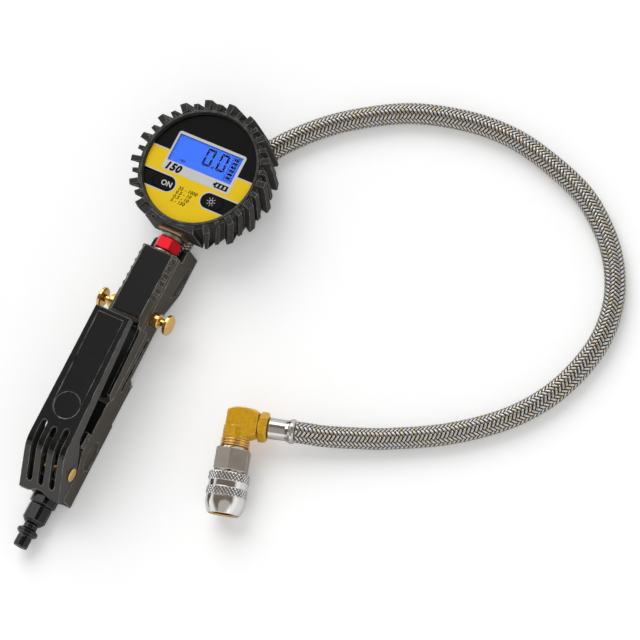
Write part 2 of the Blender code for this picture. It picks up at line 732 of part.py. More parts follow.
# ---- lever -----------------------------------------------------------------------------------
def lever_spine(depth):
    """Tip, bend and end of the lever's front face, moved inwards by depth."""
    tip = Vector((LEVER_TIP_Y, LEVER_TIP_Z))
    bend = Vector((LEVER_BEND_Y, LEVER_BEND_Z))
    end = Vector((LEVER_END_Y, LEVER_END_Z))
    upper = (bend - tip).normalized()
    lower = (end - bend).normalized()
    upper_in = Vector((-upper.y, upper.x))
    lower_in = Vector((-lower.y, lower.x))
    middle = (upper_in + lower_in).normalized()
    corner = bend + middle * depth / middle.dot(upper_in)
    return tip + upper_in * depth, corner, end + lower_in * depth, upper, lower


def lever_outline():
    tip, bend, end = lever_spine(0.0)[:3]
    flange_z = LEVER_TIP_Z - LEVER_FLANGE
    return rounded([
        (tip.x, tip.y, 0.8),
        (bend.x, bend.y, BEND_ROUND),
        (end.x, end.y, 0.0),
        (end.x, CHEEK_HEIGHT, 0.0),
        (CHEEK_START - HANDLE_LENGTH, CHEEK_HEIGHT, 1.0),
        (CHEEK_CORNER[0] - HANDLE_LENGTH, CHEEK_CORNER[1], 1.0),
        (CHEEK_TOP_START - HANDLE_LENGTH, CHEEK_TOP, 3.0),
        (LEVER_TIP_Y, flange_z, 0.8),
    ])


def lever_hollow():
    """What is cut out under the front plate, between the side walls."""
    tip, bend, end, upper, lower = lever_spine(LEVER_PLATE)
    start = tip + upper * LEVER_WALL
    stop = end + lower * 6.0
    outline = rounded([
        (start.x, start.y, 0.0),
        (bend.x, bend.y, BEND_ROUND - LEVER_PLATE),
        (stop.x, stop.y, 0.0),
        (stop.x, 5.0, 0.0),
        (start.x, 5.0, 0.0),
    ])
    return tapered_lever(outline, LEVER_WALL)


def tapered_lever(outline, inset):
    """An outline as wide as the lever is at each Y, less the inset."""
    bm = prism(outline, "X", -1.0, 1.0)
    for vert in bm.verts:
        vert.co.x = math.copysign(lever_half(vert.co.y) - inset, vert.co.x)
    return bm


def lever_half(y):
    share = (y - LEVER_TIP_Y) / (LEVER_END_Y - LEVER_TIP_Y)
    return LEVER_HALF_TIP + (LEVER_HALF_END - LEVER_HALF_TIP) * share


def panel_cutter():
    """The sunk front panel, square at the tip, with a round thumb dish at its lower end."""
    top_y = LEVER_TIP_Y - PANEL_BORDER
    half = lever_half(top_y) - PANEL_BORDER
    round_y = THUMB_START - HANDLE_LENGTH
    outline = [(half, top_y), (-half, top_y)]
    for k in range(9):
        angle = math.pi + math.pi * k / 8
        outline.append((half * math.cos(angle), round_y + half * math.sin(angle)))
    return on_lever_face(prism(outline, "Z", 0.0, 10.0), PANEL_SINK)


def thumb_cutter():
    dish = turned(rod(THUMB_RADIUS, 0.0, 10.0), "Z", (0.0, THUMB_START - HANDLE_LENGTH), 16)
    return on_lever_face(dish, PANEL_SINK + THUMB_SINK)


def on_lever_face(bm, depth):
    """Lowers an upright cutter until it is that deep in the lever's sloping front face."""
    slope = (LEVER_TIP_Z - LEVER_BEND_Z) / (LEVER_TIP_Y - LEVER_BEND_Y)
    for vert in bm.verts:
        vert.co.z += LEVER_TIP_Z + (vert.co.y - LEVER_TIP_Y) * slope - depth
    return bm


def slot_cutters():
    parts = []
    for x in (-SLOT_PITCH, 0.0, SLOT_PITCH):
        start = SLOT_START - (0.0 if x else SLOT_DROP)
        middle = (start + SLOT_END) / 2 - HANDLE_LENGTH
        outline = [(v, u) for u, v in stadium((start - SLOT_END) / 2, SLOT_WIDTH / 2, (middle, x))]
        parts.append(prism(outline, "Z", 10.0, CUTTER_REACH))
    return merged(parts)


def make_lever(parent, pivot):
    lever = add_solid("lever", tapered_lever(lever_outline(), 0.0), BLACK_PLASTIC, parent, pivot)
    cut(lever, "hollow", lever_hollow())
    join(lever, "pad", pad_block())
    cut(lever, "panel", panel_cutter())
    cut(lever, "thumb_dish", thumb_cutter())
    cut(lever, "slots", slot_cutters())
    arch = turned(rod(INLET_ARCH, LEVER_END_Y - 3.0, LEVER_END_Y + 9.0), "Y", (0.0, INLET_Z + 3.0), 24)
    cut(lever, "inlet_arch", arch)
    cut(lever, "pin_hole", turned(rod(PIN_RADIUS + GAP, -20.0, 20.0), "X", (PIVOT_Y, PIVOT_Z), 12))
    return lever


def pad_block():
    """The pad under the front plate that meets the plunger."""
    slope = (LEVER_TIP_Z - LEVER_BEND_Z) / (LEVER_TIP_Y - LEVER_BEND_Y)
    front = LEVER_TIP_Z + (VALVE_Y - LEVER_TIP_Y) * slope
    top = front - LEVER_PLATE + 0.8
    return block((-PAD_HALF, VALVE_Y - PAD_HALF, PAD_HEIGHT), (PAD_HALF, VALVE_Y + PAD_HALF, top))


def make_lever_pin(parent):
    """A headed pin whose far end is riveted over."""
    cheek = lever_half(PIVOT_Y) + GAP
    head = cheek + PIN_HEAD
    dome = PIN_HEAD_RADIUS - 1.2
    profile = [(0.0, -head), (dome, -head), (PIN_HEAD_RADIUS, -head + 0.5), (PIN_HEAD_RADIUS, -cheek),
               (PIN_RADIUS, -cheek), (PIN_RADIUS, cheek), (PIN_HEAD_RADIUS, cheek),
               (PIN_HEAD_RADIUS, head - 0.5), (dome, head), (0.0, head)]
    add_solid("lever_pin", turned(profile, "X", (PIVOT_Y, PIVOT_Z), 20), BRASS, parent)


def make_lever_spring(parent):
    """A torsion spring round the pin: three turns, one leg on the body, one under the plate."""
    wire = 0.9
    radius = PIN_RADIUS + GAP + wire / 2 + 0.6
    turns = 3
    half = 2.6
    points = [(-half, PIVOT_Y + LUG_ROUND + 1.5, PIVOT_Z - radius)]
    for i in range(turns * 9 + 5):
        angle = -math.pi / 2 - math.tau * i / 9
        x = -half + 2 * half * i / (turns * 9 + 4)
        points.append((x, PIVOT_Y + radius * math.cos(angle), PIVOT_Z + radius * math.sin(angle)))
    points.append((half, PIVOT_Y + 11.0, PIVOT_Z + 15.4))
    report_coil_gap("lever_spring", 2 * half, turns, wire)
    add_wire("lever_spring", points, wire / 2, STEEL, parent, 1)


# ---- inlet -----------------------------------------------------------------------------------
def make_inlet(parent):
    """A hexagon adapter in the body, and the quick-connect plug screwed into it."""
    face = -HANDLE_LENGTH - GAP
    foot = face - ADAPTER_LENGTH
    half = ADAPTER_FLATS / 2
    socket = 4.6
    profile = [(half - 0.6, face), (half, face - 0.8, "hex"), (half, foot + 0.8, "hex"), (half - 0.6, foot),
               (socket, foot), (socket, foot + 8.0), (AIR_RADIUS, foot + 8.0),
               (AIR_RADIUS, face + ADAPTER_SPIGOT), (ADAPTER_SPIGOT_RADIUS - 0.6, face + ADAPTER_SPIGOT),
               (ADAPTER_SPIGOT_RADIUS, face + ADAPTER_SPIGOT - 0.6), (ADAPTER_SPIGOT_RADIUS, face)]
    add_solid("inlet_adapter", turned(profile, "Y", (0.0, INLET_Z), 18, math.pi / 6), BLACK_STEEL, parent)
    make_plug(parent, foot, socket)
    screen = turned(rod(AIR_RADIUS, 0.0, 1.0), "Y", (0.0, INLET_Z), 12)
    bmesh.ops.translate(screen, verts=screen.verts, vec=(0.0, face + ADAPTER_SPIGOT + 2 * GAP, 0.0))
    add_solid("inlet_filter", screen, BRASS, parent)


def make_plug(parent, foot, socket):
    """Hexagon, neck, collar and nose of an industrial quarter-inch plug."""
    hexagon = PLUG_HEX_FLATS / 2
    start = foot - GAP
    hex_end = start - PLUG_HEX_LENGTH
    tip = hex_end - PLUG_NOSE_LENGTH
    bore = 2.2
    profile = [(socket - GAP, foot + 7.6), (socket - GAP, start), (hexagon - 0.4, start),
               (hexagon, start - 0.6, "hex"), (hexagon, hex_end + 1.6, "hex"), (hexagon - 1.0, hex_end),
               (PLUG_NECK_RADIUS, hex_end - 1.2), (PLUG_NECK_RADIUS, hex_end - 3.2),
               (PLUG_COLLAR_RADIUS, hex_end - 4.8), (PLUG_COLLAR_RADIUS, hex_end - 6.6),
               (PLUG_NECK_RADIUS, hex_end - 8.0), (PLUG_TIP_RADIUS, hex_end - 9.2),
               (PLUG_TIP_RADIUS, tip + 0.6), (PLUG_TIP_RADIUS - 0.6, tip), (bore, tip), (bore, foot + 7.6)]
    add_solid("inlet_plug", turned(profile, "Y", (0.0, INLET_Z), 18, math.pi / 6), BLACK_STEEL, parent)


# ---- inlet valve -----------------------------------------------------------------------------
def make_valve(parent):
    """Seat, bush and seal that stay in the body, and the spring under the poppet."""
    centre = (0.0, VALVE_Y)
    outer = VALVE_RADIUS - GAP
    seat_top = SEAT_BOTTOM + SEAT_THICKNESS
    add_solid("valve_seat", turned(tube(outer, 2.7, SEAT_BOTTOM, seat_top), "Z", centre, 12), BRASS, parent)
    bush_low = seat_top + 2.6
    bush = [(outer, bush_low), (outer, GRIP_FRONT + GAP), (6.4, GRIP_FRONT + GAP), (6.4, GRIP_FRONT + 1.6),
            (STEM_RADIUS + GAP, GRIP_FRONT + 1.6), (STEM_RADIUS + GAP, bush_low + 2.6),
            (outer - 1.2, bush_low + 2.6), (outer - 1.2, bush_low)]
    add_solid("plunger_bush", turned(bush, "Z", centre, 16), BRASS, parent)
    seal_wire = outer - 1.2 - STEM_RADIUS - 2 * GAP
    seal_middle = STEM_RADIUS + GAP + seal_wire / 2
    seal_low = bush_low + 2.6 - GAP - seal_wire
    add_solid("plunger_seal", turned(ring_profile(seal_middle, seal_wire, seal_low), "Z", centre, 12),
              SOFT_RUBBER, parent)
    low = VALVE_FLOOR + GAP + SPRING_WIRE / 2
    high = SEAT_BOTTOM - GAP - POPPET_THICKNESS - GAP - SPRING_WIRE / 2
    report_coil_gap("poppet_spring", high - low, 3, SPRING_WIRE)
    add_wire("poppet_spring", coil_points("Z", centre, 2.6, low, high, 3), SPRING_WIRE / 2, STEEL, parent, 1)


def make_plunger(parent, pivot):
    """The stem that the lever pushes, and the rubber-faced poppet at its foot."""
    centre = (0.0, VALVE_Y)
    top = PAD_HEIGHT - GAP
    stem = [(0.0, SEAT_BOTTOM), (1.6, SEAT_BOTTOM), (1.6, SEAT_BOTTOM + 4.0),
            (STEM_RADIUS, SEAT_BOTTOM + 4.4), (STEM_RADIUS, top - 0.7), (STEM_RADIUS - 0.7, top - 0.15),
            (0.0, top)]
    add_solid("plunger", turned(stem, "Z", centre, 16), BRASS, parent, pivot)
    poppet_top = SEAT_BOTTOM - GAP
    poppet = [(0.0, poppet_top - POPPET_THICKNESS), (POPPET_RADIUS - 0.6, poppet_top - POPPET_THICKNESS),
              (POPPET_RADIUS, poppet_top - 1.0), (POPPET_RADIUS, poppet_top), (0.0, poppet_top)]
    add_solid("poppet", turned(poppet, "Z", centre, 12), SOFT_RUBBER, parent, pivot)


# ---- bleed valve -----------------------------------------------------------------------------
def make_bleed_barrels(parent):
    """A brass barrel screwed into each side of the body guides the spool."""
    neck = SPOOL_RADIUS + GAP
    pocket = LAND_RADIUS
    for label, side in (("left", -1), ("right", 1)):
        profile = [(BARREL_RADIUS, side * BARREL_DEPTH), (BARREL_RADIUS, side * (BARREL_REACH - 0.5)),
                   (BARREL_RADIUS - 0.5, side * BARREL_REACH), (neck, side * BARREL_REACH),
                   (neck, side * (BARREL_REACH - 3.0)), (pocket, side * (BARREL_REACH - 3.0)),
                   (pocket, side * BARREL_DEPTH)]
        bm = turned(profile, "X", (BLEED_Y, BLEED_Z), 16)
        add_solid(f"bleed_barrel_{label}", bm, BRASS, parent)


def make_spool(parent, pivot):
    """The spool with its seal, a spring on each side, and a button on each end."""
    centre = (BLEED_Y, BLEED_Z)
    end = BUTTON_INNER - GAP
    groove = 1.0
    profile = [(0.0, -end), (SPOOL_RADIUS, -end), (SPOOL_RADIUS, -LAND_HALF), (LAND_RADIUS, -LAND_HALF),
               (LAND_RADIUS, -groove), (LAND_RADIUS - 1.2, -groove), (LAND_RADIUS - 1.2, groove),
               (LAND_RADIUS, groove), (LAND_RADIUS, LAND_HALF), (SPOOL_RADIUS, LAND_HALF),
               (SPOOL_RADIUS, end), (0.0, end)]
    add_solid("bleed_spool", turned(profile, "X", centre, 16), BRASS, parent, pivot)
    wire = 2 * (groove - GAP)
    seal = turned(ring_profile(LAND_RADIUS - 1.2 + GAP + wire / 2, wire, -wire / 2), "X", centre, 16)
    add_solid("spool_seal", seal, SOFT_RUBBER, parent, pivot)
    for label, side in (("left", -1), ("right", 1)):
        make_button(parent, pivot, label, side)
        make_bleed_spring(parent, label, side)


def make_button(parent, pivot, label, side):
    """A round head with a chamfered rim."""
    outer = BUTTON_INNER + BUTTON_THICKNESS
    profile = [(0.0, side * BUTTON_INNER), (BUTTON_RADIUS - 0.5, side * BUTTON_INNER),
               (BUTTON_RADIUS, side * (BUTTON_INNER + 0.5)), (BUTTON_RADIUS, side * (outer - 0.5)),
               (BUTTON_RADIUS - 0.6, side * outer), (0.0, side * outer)]
    bm = turned(profile, "X", (BLEED_Y, BLEED_Z), 24)
    add_solid(f"bleed_button_{label}", bm, BRASS, parent, pivot)


def make_bleed_spring(parent, label, side):
    """The spring that pushes the spool back to its middle."""
    wire = 0.6
    radius = SPOOL_RADIUS + GAP + wire / 2 + 0.1
    start = LAND_HALF + GAP + wire / 2
    end = BARREL_REACH - 3.0 - BLEED_TRAVEL - GAP - wire / 2
    report_coil_gap(f"bleed_spring_{label}", end - start, 4, wire)
    points = coil_points("X", (BLEED_Y, BLEED_Z), radius, side * start, side * end, 4)
    add_wire(f"bleed_spring_{label}", points, wire / 2, STEEL, parent, 1)


# ---- gauge -----------------------------------------------------------------------------------
def make_stem(parent):
    """The threaded stem, its washer and the red lock nut, and the square socket on the case."""
    centre = (0.0, STEM_Z)
    nut_start = 1.2
    nut_end = nut_start + NUT_THICKNESS
    washer = turned(tube(6.2, GAUGE_STEM_RADIUS + GAP, GAP, nut_start - GAP), "Y", centre, 20)
    add_solid("nut_washer", washer, STEEL, parent)
    half = NUT_FLATS / 2
    nut = [(half - 0.3, nut_start), (half, nut_start + 0.7, "hex"), (half, nut_end - 0.7, "hex"),
           (half - 0.3, nut_end), (GAUGE_STEM_RADIUS + GAP, nut_end), (GAUGE_STEM_RADIUS + GAP, nut_start)]
    add_solid("gauge_nut", turned(nut, "Y", centre, 24, math.pi / 6), RED_ANODISED, parent)
    stem = [(GAUGE_STEM_RADIUS - 0.6, -STEM_DEPTH), (GAUGE_STEM_RADIUS, -STEM_DEPTH + 0.6),
            (GAUGE_STEM_RADIUS, nut_end + GAP), (5.4, nut_end + GAP), (5.4, SOCKET_START - GAP),
            (1.5, SOCKET_START - GAP), (1.5, -STEM_DEPTH)]
    add_solid("gauge_stem", turned(stem, "Y", centre, 20), STEEL, parent)
    wall = GAUGE_Y - CASE_RADIUS
    side = SOCKET_HALF
    outline = [(-side, STEM_Z - side), (side, STEM_Z - side), (side, STEM_Z + side), (-side, STEM_Z + side)]
    socket = add_solid("gauge_socket", prism(outline, "Y", SOCKET_START, wall - 0.6), BRASS, parent)
    neck_end = wall + CASE_WALL + 2.5
    join(socket, "neck", turned(rod(SOCKET_NECK, SOCKET_START + 1.0, neck_end), "Y", centre, 20))
    cut(socket, "bore", turned(rod(1.5, 0.0, neck_end + 5.0), "Y", centre, 12))
    sensor = [(0.0, neck_end + GAP), (5.0, neck_end + GAP), (5.0, neck_end + 5.0), (4.0, neck_end + 6.0),
              (4.0, neck_end + 9.0), (0.0, neck_end + 9.0)]
    add_solid("pressure_sensor", turned(sensor, "Y", (0.0, BOARD_Z - GAP - 5.0), 12), STEEL, parent)


def disc_hole(radius, start, end, centre_y, segments=48):
    return turned(rod(radius, start, end), "Z", (0.0, centre_y), segments)


def make_case(parent):
    """The rear cup with its battery bay and the hole for the stem."""
    centre = (0.0, GAUGE_Y)
    rim = FACE_Z - FRONT_THICKNESS - GAP
    inner = CASE_RADIUS - CASE_WALL
    floor = CASE_BACK + CASE_FLOOR
    profile = [(0.0, CASE_BACK), (CASE_RADIUS - 1.0, CASE_BACK), (CASE_RADIUS, CASE_BACK + 1.0),
               (CASE_RADIUS, rim), (inner, rim), (inner, floor), (0.0, floor)]
    case = add_solid("gauge_case", turned(profile, "Z", centre, 48), BLACK_PLASTIC, parent)
    half_x, half_y = bay_size()
    bay_y = GAUGE_Y + CELL_OFFSET
    bay = block((-half_x, bay_y - half_y, CASE_BACK - 2.0), (half_x, bay_y + half_y, floor + 1.0))
    cut(case, "battery_bay", bay)
    neck = turned(rod(SOCKET_NECK + GAP, 0.0, GAUGE_Y - inner + 2.0), "Y", (0.0, STEM_Z), 20)
    cut(case, "stem_hole", neck)
    door_half_x = half_x - GAP
    door_half_y = half_y - GAP
    door_low = (-door_half_x, bay_y - door_half_y, CASE_BACK + 0.2)
    door = add_solid("battery_door", block(door_low, (door_half_x, bay_y + door_half_y, floor - 0.2)),
                     BLACK_PLASTIC, parent)
    cut(door, "screw_hole", disc_hole(1.5, 0.0, 40.0, bay_y, 12))
    screw = [(0.0, CASE_BACK + 0.6), (0.5, CASE_BACK + 0.6), (0.5, CASE_BACK + 0.3), (1.2, CASE_BACK + 0.3),
             (1.2, CASE_BACK + 1.6), (0.0, CASE_BACK + 1.6)]
    add_solid("door_screw", turned(screw, "Z", (0.0, bay_y), 12), STEEL, parent)


def bay_size():
    """Half of the battery bay's length and width."""
    return CELL_LENGTH / 2 + 1.2, 2 * CELL_RADIUS + 0.6


def make_front(parent):
    """The front plate that carries the label, with openings for the display and the keys."""
    centre = (0.0, GAUGE_Y)
    back = FACE_Z - FRONT_THICKNESS
    plate = turned(rod(CASE_RADIUS, back, FACE_Z), "Z", centre, 48)
    front = add_solid("gauge_front", plate, LABEL_YELLOW, parent)
    window_y = GAUGE_Y + WINDOW_Y
    window = block((-WINDOW_HALF_WIDTH, window_y - WINDOW_HALF_HEIGHT, back - 1.0),
                   (WINDOW_HALF_WIDTH, window_y + WINDOW_HALF_HEIGHT, FACE_Z + 1.0))
    cut(front, "window", window)
    keys = []
    for side in (-1, 1):
        outline = stadium(KEY_HALF_LENGTH + GAP, KEY_HALF_HEIGHT + GAP, (side * KEY_X, GAUGE_Y + KEY_Y))
        keys.append(prism(outline, "Z", back - 1.0, FACE_Z + 1.0))
    cut(front, "key_holes", merged(keys))
    layers = (("display_lens", 1.2, FACE_Z - 0.3, CLEAR), ("lcd_panel", 1.0, FACE_Z - 1.8, LCD_BLUE),
              ("backlight", 0.9, FACE_Z - 3.1, WHITE_PLASTIC))
    for name, thickness, top, finish in layers:
        low = (-WINDOW_HALF_WIDTH + GAP, window_y - WINDOW_HALF_HEIGHT + GAP, top - thickness)
        high = (WINDOW_HALF_WIDTH - GAP, window_y + WINDOW_HALF_HEIGHT - GAP, top)
        add_solid(name, block(low, high), finish, parent)


def make_board(parent):
    """The circuit board, with a switch under each key."""
    board = turned(rod(BOARD_RADIUS, BOARD_Z, BOARD_Z + BOARD_THICKNESS), "Z", (0.0, GAUGE_Y), 32)
    add_solid("circuit_board", board, BOARD_GREEN, parent)
    low = BOARD_Z + BOARD_THICKNESS + GAP
    high = FACE_Z - KEY_THICKNESS - KEY_TRAVEL - GAP
    for name, side in (("power_switch", -1), ("light_switch", 1)):
        x = side * KEY_X
        y = GAUGE_Y + KEY_Y
        add_solid(name, block((x - 3.0, y - 3.0, low), (x + 3.0, y + 3.0, high)), STEEL, parent)


def make_key(name, side, parent, pivot):
    outline = stadium(KEY_HALF_LENGTH, KEY_HALF_HEIGHT, (side * KEY_X, GAUGE_Y + KEY_Y))
    bm = prism(outline, "Z", FACE_Z - KEY_THICKNESS, FACE_Z + KEY_PROUD)
    add_solid(name, bm, BLACK_PLASTIC, parent, pivot)


def make_battery(parent):
    """Two AAA cells between two contact plates."""
    z = CASE_BACK + CASE_FLOOR - 0.2 + GAP + CELL_RADIUS
    for label, side in (("upper", 1), ("lower", -1)):
        y = GAUGE_Y + CELL_OFFSET + side * (CELL_RADIUS + GAP)
        half = CELL_LENGTH / 2
        profile = [(0.0, side * half), (1.9, side * half), (1.9, side * (half - 0.8)),
                   (CELL_RADIUS, side * (half - 0.8)), (CELL_RADIUS, -side * half), (0.0, -side * half)]
        add_solid(f"battery_cell_{label}", turned(profile, "X", (y, z), 20), CELL_WRAP, parent)
    for label, side in (("left", -1), ("right", 1)):
        inner = CELL_LENGTH / 2 + GAP
        x = sorted((side * inner, side * (inner + 0.5)))
        reach = 2 * CELL_RADIUS
        low = (x[0], GAUGE_Y + CELL_OFFSET - reach + 1.0, z - 3.5)
        high = (x[1], GAUGE_Y + CELL_OFFSET + reach - 1.0, z + 3.5)
        add_solid(f"battery_contact_{label}", block(low, high), STEEL, parent)


# ---- boot ------------------------------------------------------------------------------------
def tread_samples():
    """Angles round the boot, from the bib's middle, with the tread's outer radius at each."""
    pitch = math.radians(LUG_PITCH)
    bib = math.radians(BIB_ANGLE)
    pattern = ((-0.125, GROOVE_RADIUS), (-0.105, BIG_LUG_RADIUS), (0.105, BIG_LUG_RADIUS),
               (0.145, GROOVE_RADIUS), (0.375, GROOVE_RADIUS), (0.415, SMALL_LUG_RADIUS),
               (0.585, SMALL_LUG_RADIUS), (0.625, GROOVE_RADIUS))
    samples = [(bib * step / 3, None) for step in range(-3, 4)]
    samples.append((bib + math.radians(1.0), GROOVE_RADIUS))
    for lug in range(LUG_COUNT):
        middle = math.pi + pitch * (lug - (LUG_COUNT - 1) / 2)
        for share, radius in pattern:
            if middle + pitch * share < math.tau - bib - pitch / 4:
                samples.append((middle + pitch * share, radius))
    samples.append((math.tau - bib - math.radians(1.0), GROOVE_RADIUS))
    return samples


def boot_profile(radius):
    """Section of the boot: back flange, back shoulder, tread, front shoulder, lip and inner wall."""
    wall = CASE_RADIUS + GAP
    shoulder = radius - SHOULDER
    return [
        (BACK_HOLE_RADIUS, BOOT_BACK),
        (GROOVE_RADIUS - 2.0, BOOT_BACK),
        (shoulder, BOOT_BACK + 0.2),
        (radius, BOOT_BACK + 1.2),
        (radius, BOOT_FRONT - 1.2),
        (shoulder, BOOT_FRONT - 0.4),
        (FACE_RADIUS + 2.4, BOOT_FRONT),
        (FACE_RADIUS + 1.0, BOOT_FRONT),
        (FACE_RADIUS, FACE_Z + GAP),
        (wall, FACE_Z + GAP),
        (wall, CASE_BACK - GAP),
        (BACK_HOLE_RADIUS, CASE_BACK - GAP),
    ]


def lean_at(angle):
    """How far a lug's back edge trails its front edge. It fades out beside the bib."""
    beside = min(angle, math.tau - angle) - math.radians(BIB_ANGLE)
    share = min(1.0, max(0.0, beside / math.radians(LEAN_FADE)))
    return math.radians(LUG_TWIST) * share


def make_boot(parent):
    """The rubber boot: a ring of leaning lugs, with a flat bib round the socket."""
    bm = bmesh.new()
    rings = []
    for angle, radius in tread_samples():
        profile = boot_profile(radius or BIB_DISTANCE / math.cos(angle))
        ring = []
        for r, z in profile:
            turn = angle - math.pi / 2
            if r > GROOVE_RADIUS - 0.5:
                turn -= lean_at(angle) * (BOOT_FRONT - z) / (BOOT_FRONT - BOOT_BACK)
            ring.append(bm.verts.new((r * math.cos(turn), GAUGE_Y + r * math.sin(turn), z)))
        rings.append(ring)
    for a, b in zip(rings, rings[1:] + rings[:1]):
        bridge(bm, a, b, len(a))
    boot = add_solid("gauge_boot", bm, CHARCOAL_RUBBER, parent)
    hole = SOCKET_HALF + GAP + 0.1
    low = (-hole, 5.0, STEM_Z - hole)
    high = (hole, GAUGE_Y - CASE_RADIUS + 4.0, STEM_Z + hole)
    cut(boot, "socket_hole", block(low, high))
    return boot


# ---- hose ------------------------------------------------------------------------------------
def hose_route():
    """Points chosen along the hose as it lies, from the handle's ferrule to the chuck's."""
    elbow = Vector((ELBOW_X, ELBOW_Y, elbow_height()))
    arm = chuck_turn().col[0]
    ferrule_end = BLOCK_ARM_SIDE + HOSE_NUT_LENGTH + FAR_FERRULE_LENGTH + 2 * GAP
    far_end = [tuple(elbow + arm * (ferrule_end + reach)) for reach in (16.0, 8.0, 1.2)]
    return [
        (0.0, 2.0, 7.83), (0.0, 8.2, 7.07), (0.0, 14.5, 6.35), (1.6, 32.0, 6.15),
        (7.2, 53.0, 6.15), (16.6, 74.0, 6.15), (28.2, 91.2, 6.15), (45.1, 108.1, 6.15),
        (63.9, 121.2, 6.15), (84.0, 131.6, 6.15), (106.2, 137.9, 6.15), (131.0, 140.8, 6.15),
        (156.9, 138.2, 6.15), (191.5, 126.9, 6.15), (214.1, 111.2, 6.15), (229.7, 92.8, 6.15),
        (238.5, 71.8, 6.15), (239.7, 47.8, 6.15), (231.3, 19.8, 6.15), (214.7, -4.1, 6.15),
        (188.9, -25.1, 6.3), (160.4, -40.8, 7.0), (141.5, -49.0, 8.2),
        *far_end,
    ]


def smooth_route(points, spacing):
    """Points at an even spacing along a Catmull-Rom curve through the route's points."""
    dense = []
    for i in range(len(points) - 1):
        p0 = Vector(points[max(i - 1, 0)])
        p1 = Vector(points[i])
        p2 = Vector(points[i + 1])
        p3 = Vector(points[min(i + 2, len(points) - 1)])
        for k in range(20):
            t = k / 20
            dense.append(0.5 * (2 * p1 + (p2 - p0) * t + (2 * p0 - 5 * p1 + 4 * p2 - p3) * t ** 2
                                + (3 * p1 - p0 - 3 * p2 + p3) * t ** 3))
    dense.append(Vector(points[-1]))
    lengths = [0.0]
    for a, b in zip(dense, dense[1:]):
        lengths.append(lengths[-1] + (b - a).length)
    count = round(lengths[-1] / spacing)
    even = []
    k = 0
    for i in range(count + 1):
        target = lengths[-1] * i / count
        while k < len(dense) - 2 and lengths[k + 1] < target:
            k += 1
        share = (target - lengths[k]) / (lengths[k + 1] - lengths[k])
        even.append(dense[k].lerp(dense[k + 1], share))
    return even


def make_hose(parent, port):
    """The braided hose and the crimp ferrule that holds it in the handle."""
    ferrule = [(2.2, GAP), (FERRULE_RADIUS - 0.6, GAP), (FERRULE_RADIUS, 1.0),
               (FERRULE_RADIUS, FERRULE_LENGTH - 0.6), (FERRULE_RADIUS - 0.6, FERRULE_LENGTH),
               (2.2, FERRULE_LENGTH)]
    add_solid("hose_ferrule_handle", turned(ferrule, "Z", (0.0, 0.0), 24), STEEL, port)
    points = smooth_route(hose_route(), 2 * HOSE_RADIUS * 1.1)
    length = sum((b - a).length for a, b in zip(points, points[1:]))
    print(f"hose: {length:.1f} mm, {len(points)} points")
    add_wire("hose", points, HOSE_RADIUS, BRAID, parent, 3)


# ---- elbow and chuck, in a frame with Z along the chuck and X along the hose arm --------------
def chuck_turn():
    heading = math.radians(HOSE_HEADING)
    dip = math.radians(HOSE_DIP)
    nose = math.radians(CHUCK_DIP)
    arm = Vector((math.cos(heading) * math.cos(dip), math.sin(heading) * math.cos(dip), -math.sin(dip)))
    swing = heading - math.asin(math.tan(nose) * math.tan(dip))
    axis = Vector((math.sin(swing) * math.cos(nose), -math.cos(swing) * math.cos(nose), -math.sin(nose)))
    side = axis.cross(arm)
    return Matrix((arm, side, axis)).transposed()


def elbow_height():
    """The sleeve's widest part rests on the table."""
    dip = math.radians(CHUCK_DIP)
    rest = SLEEVE_START + KNURL_END + NOSE_STRAIGHT
    return NOSE_SHOULDER * math.cos(dip) + rest * math.sin(dip) + 0.05


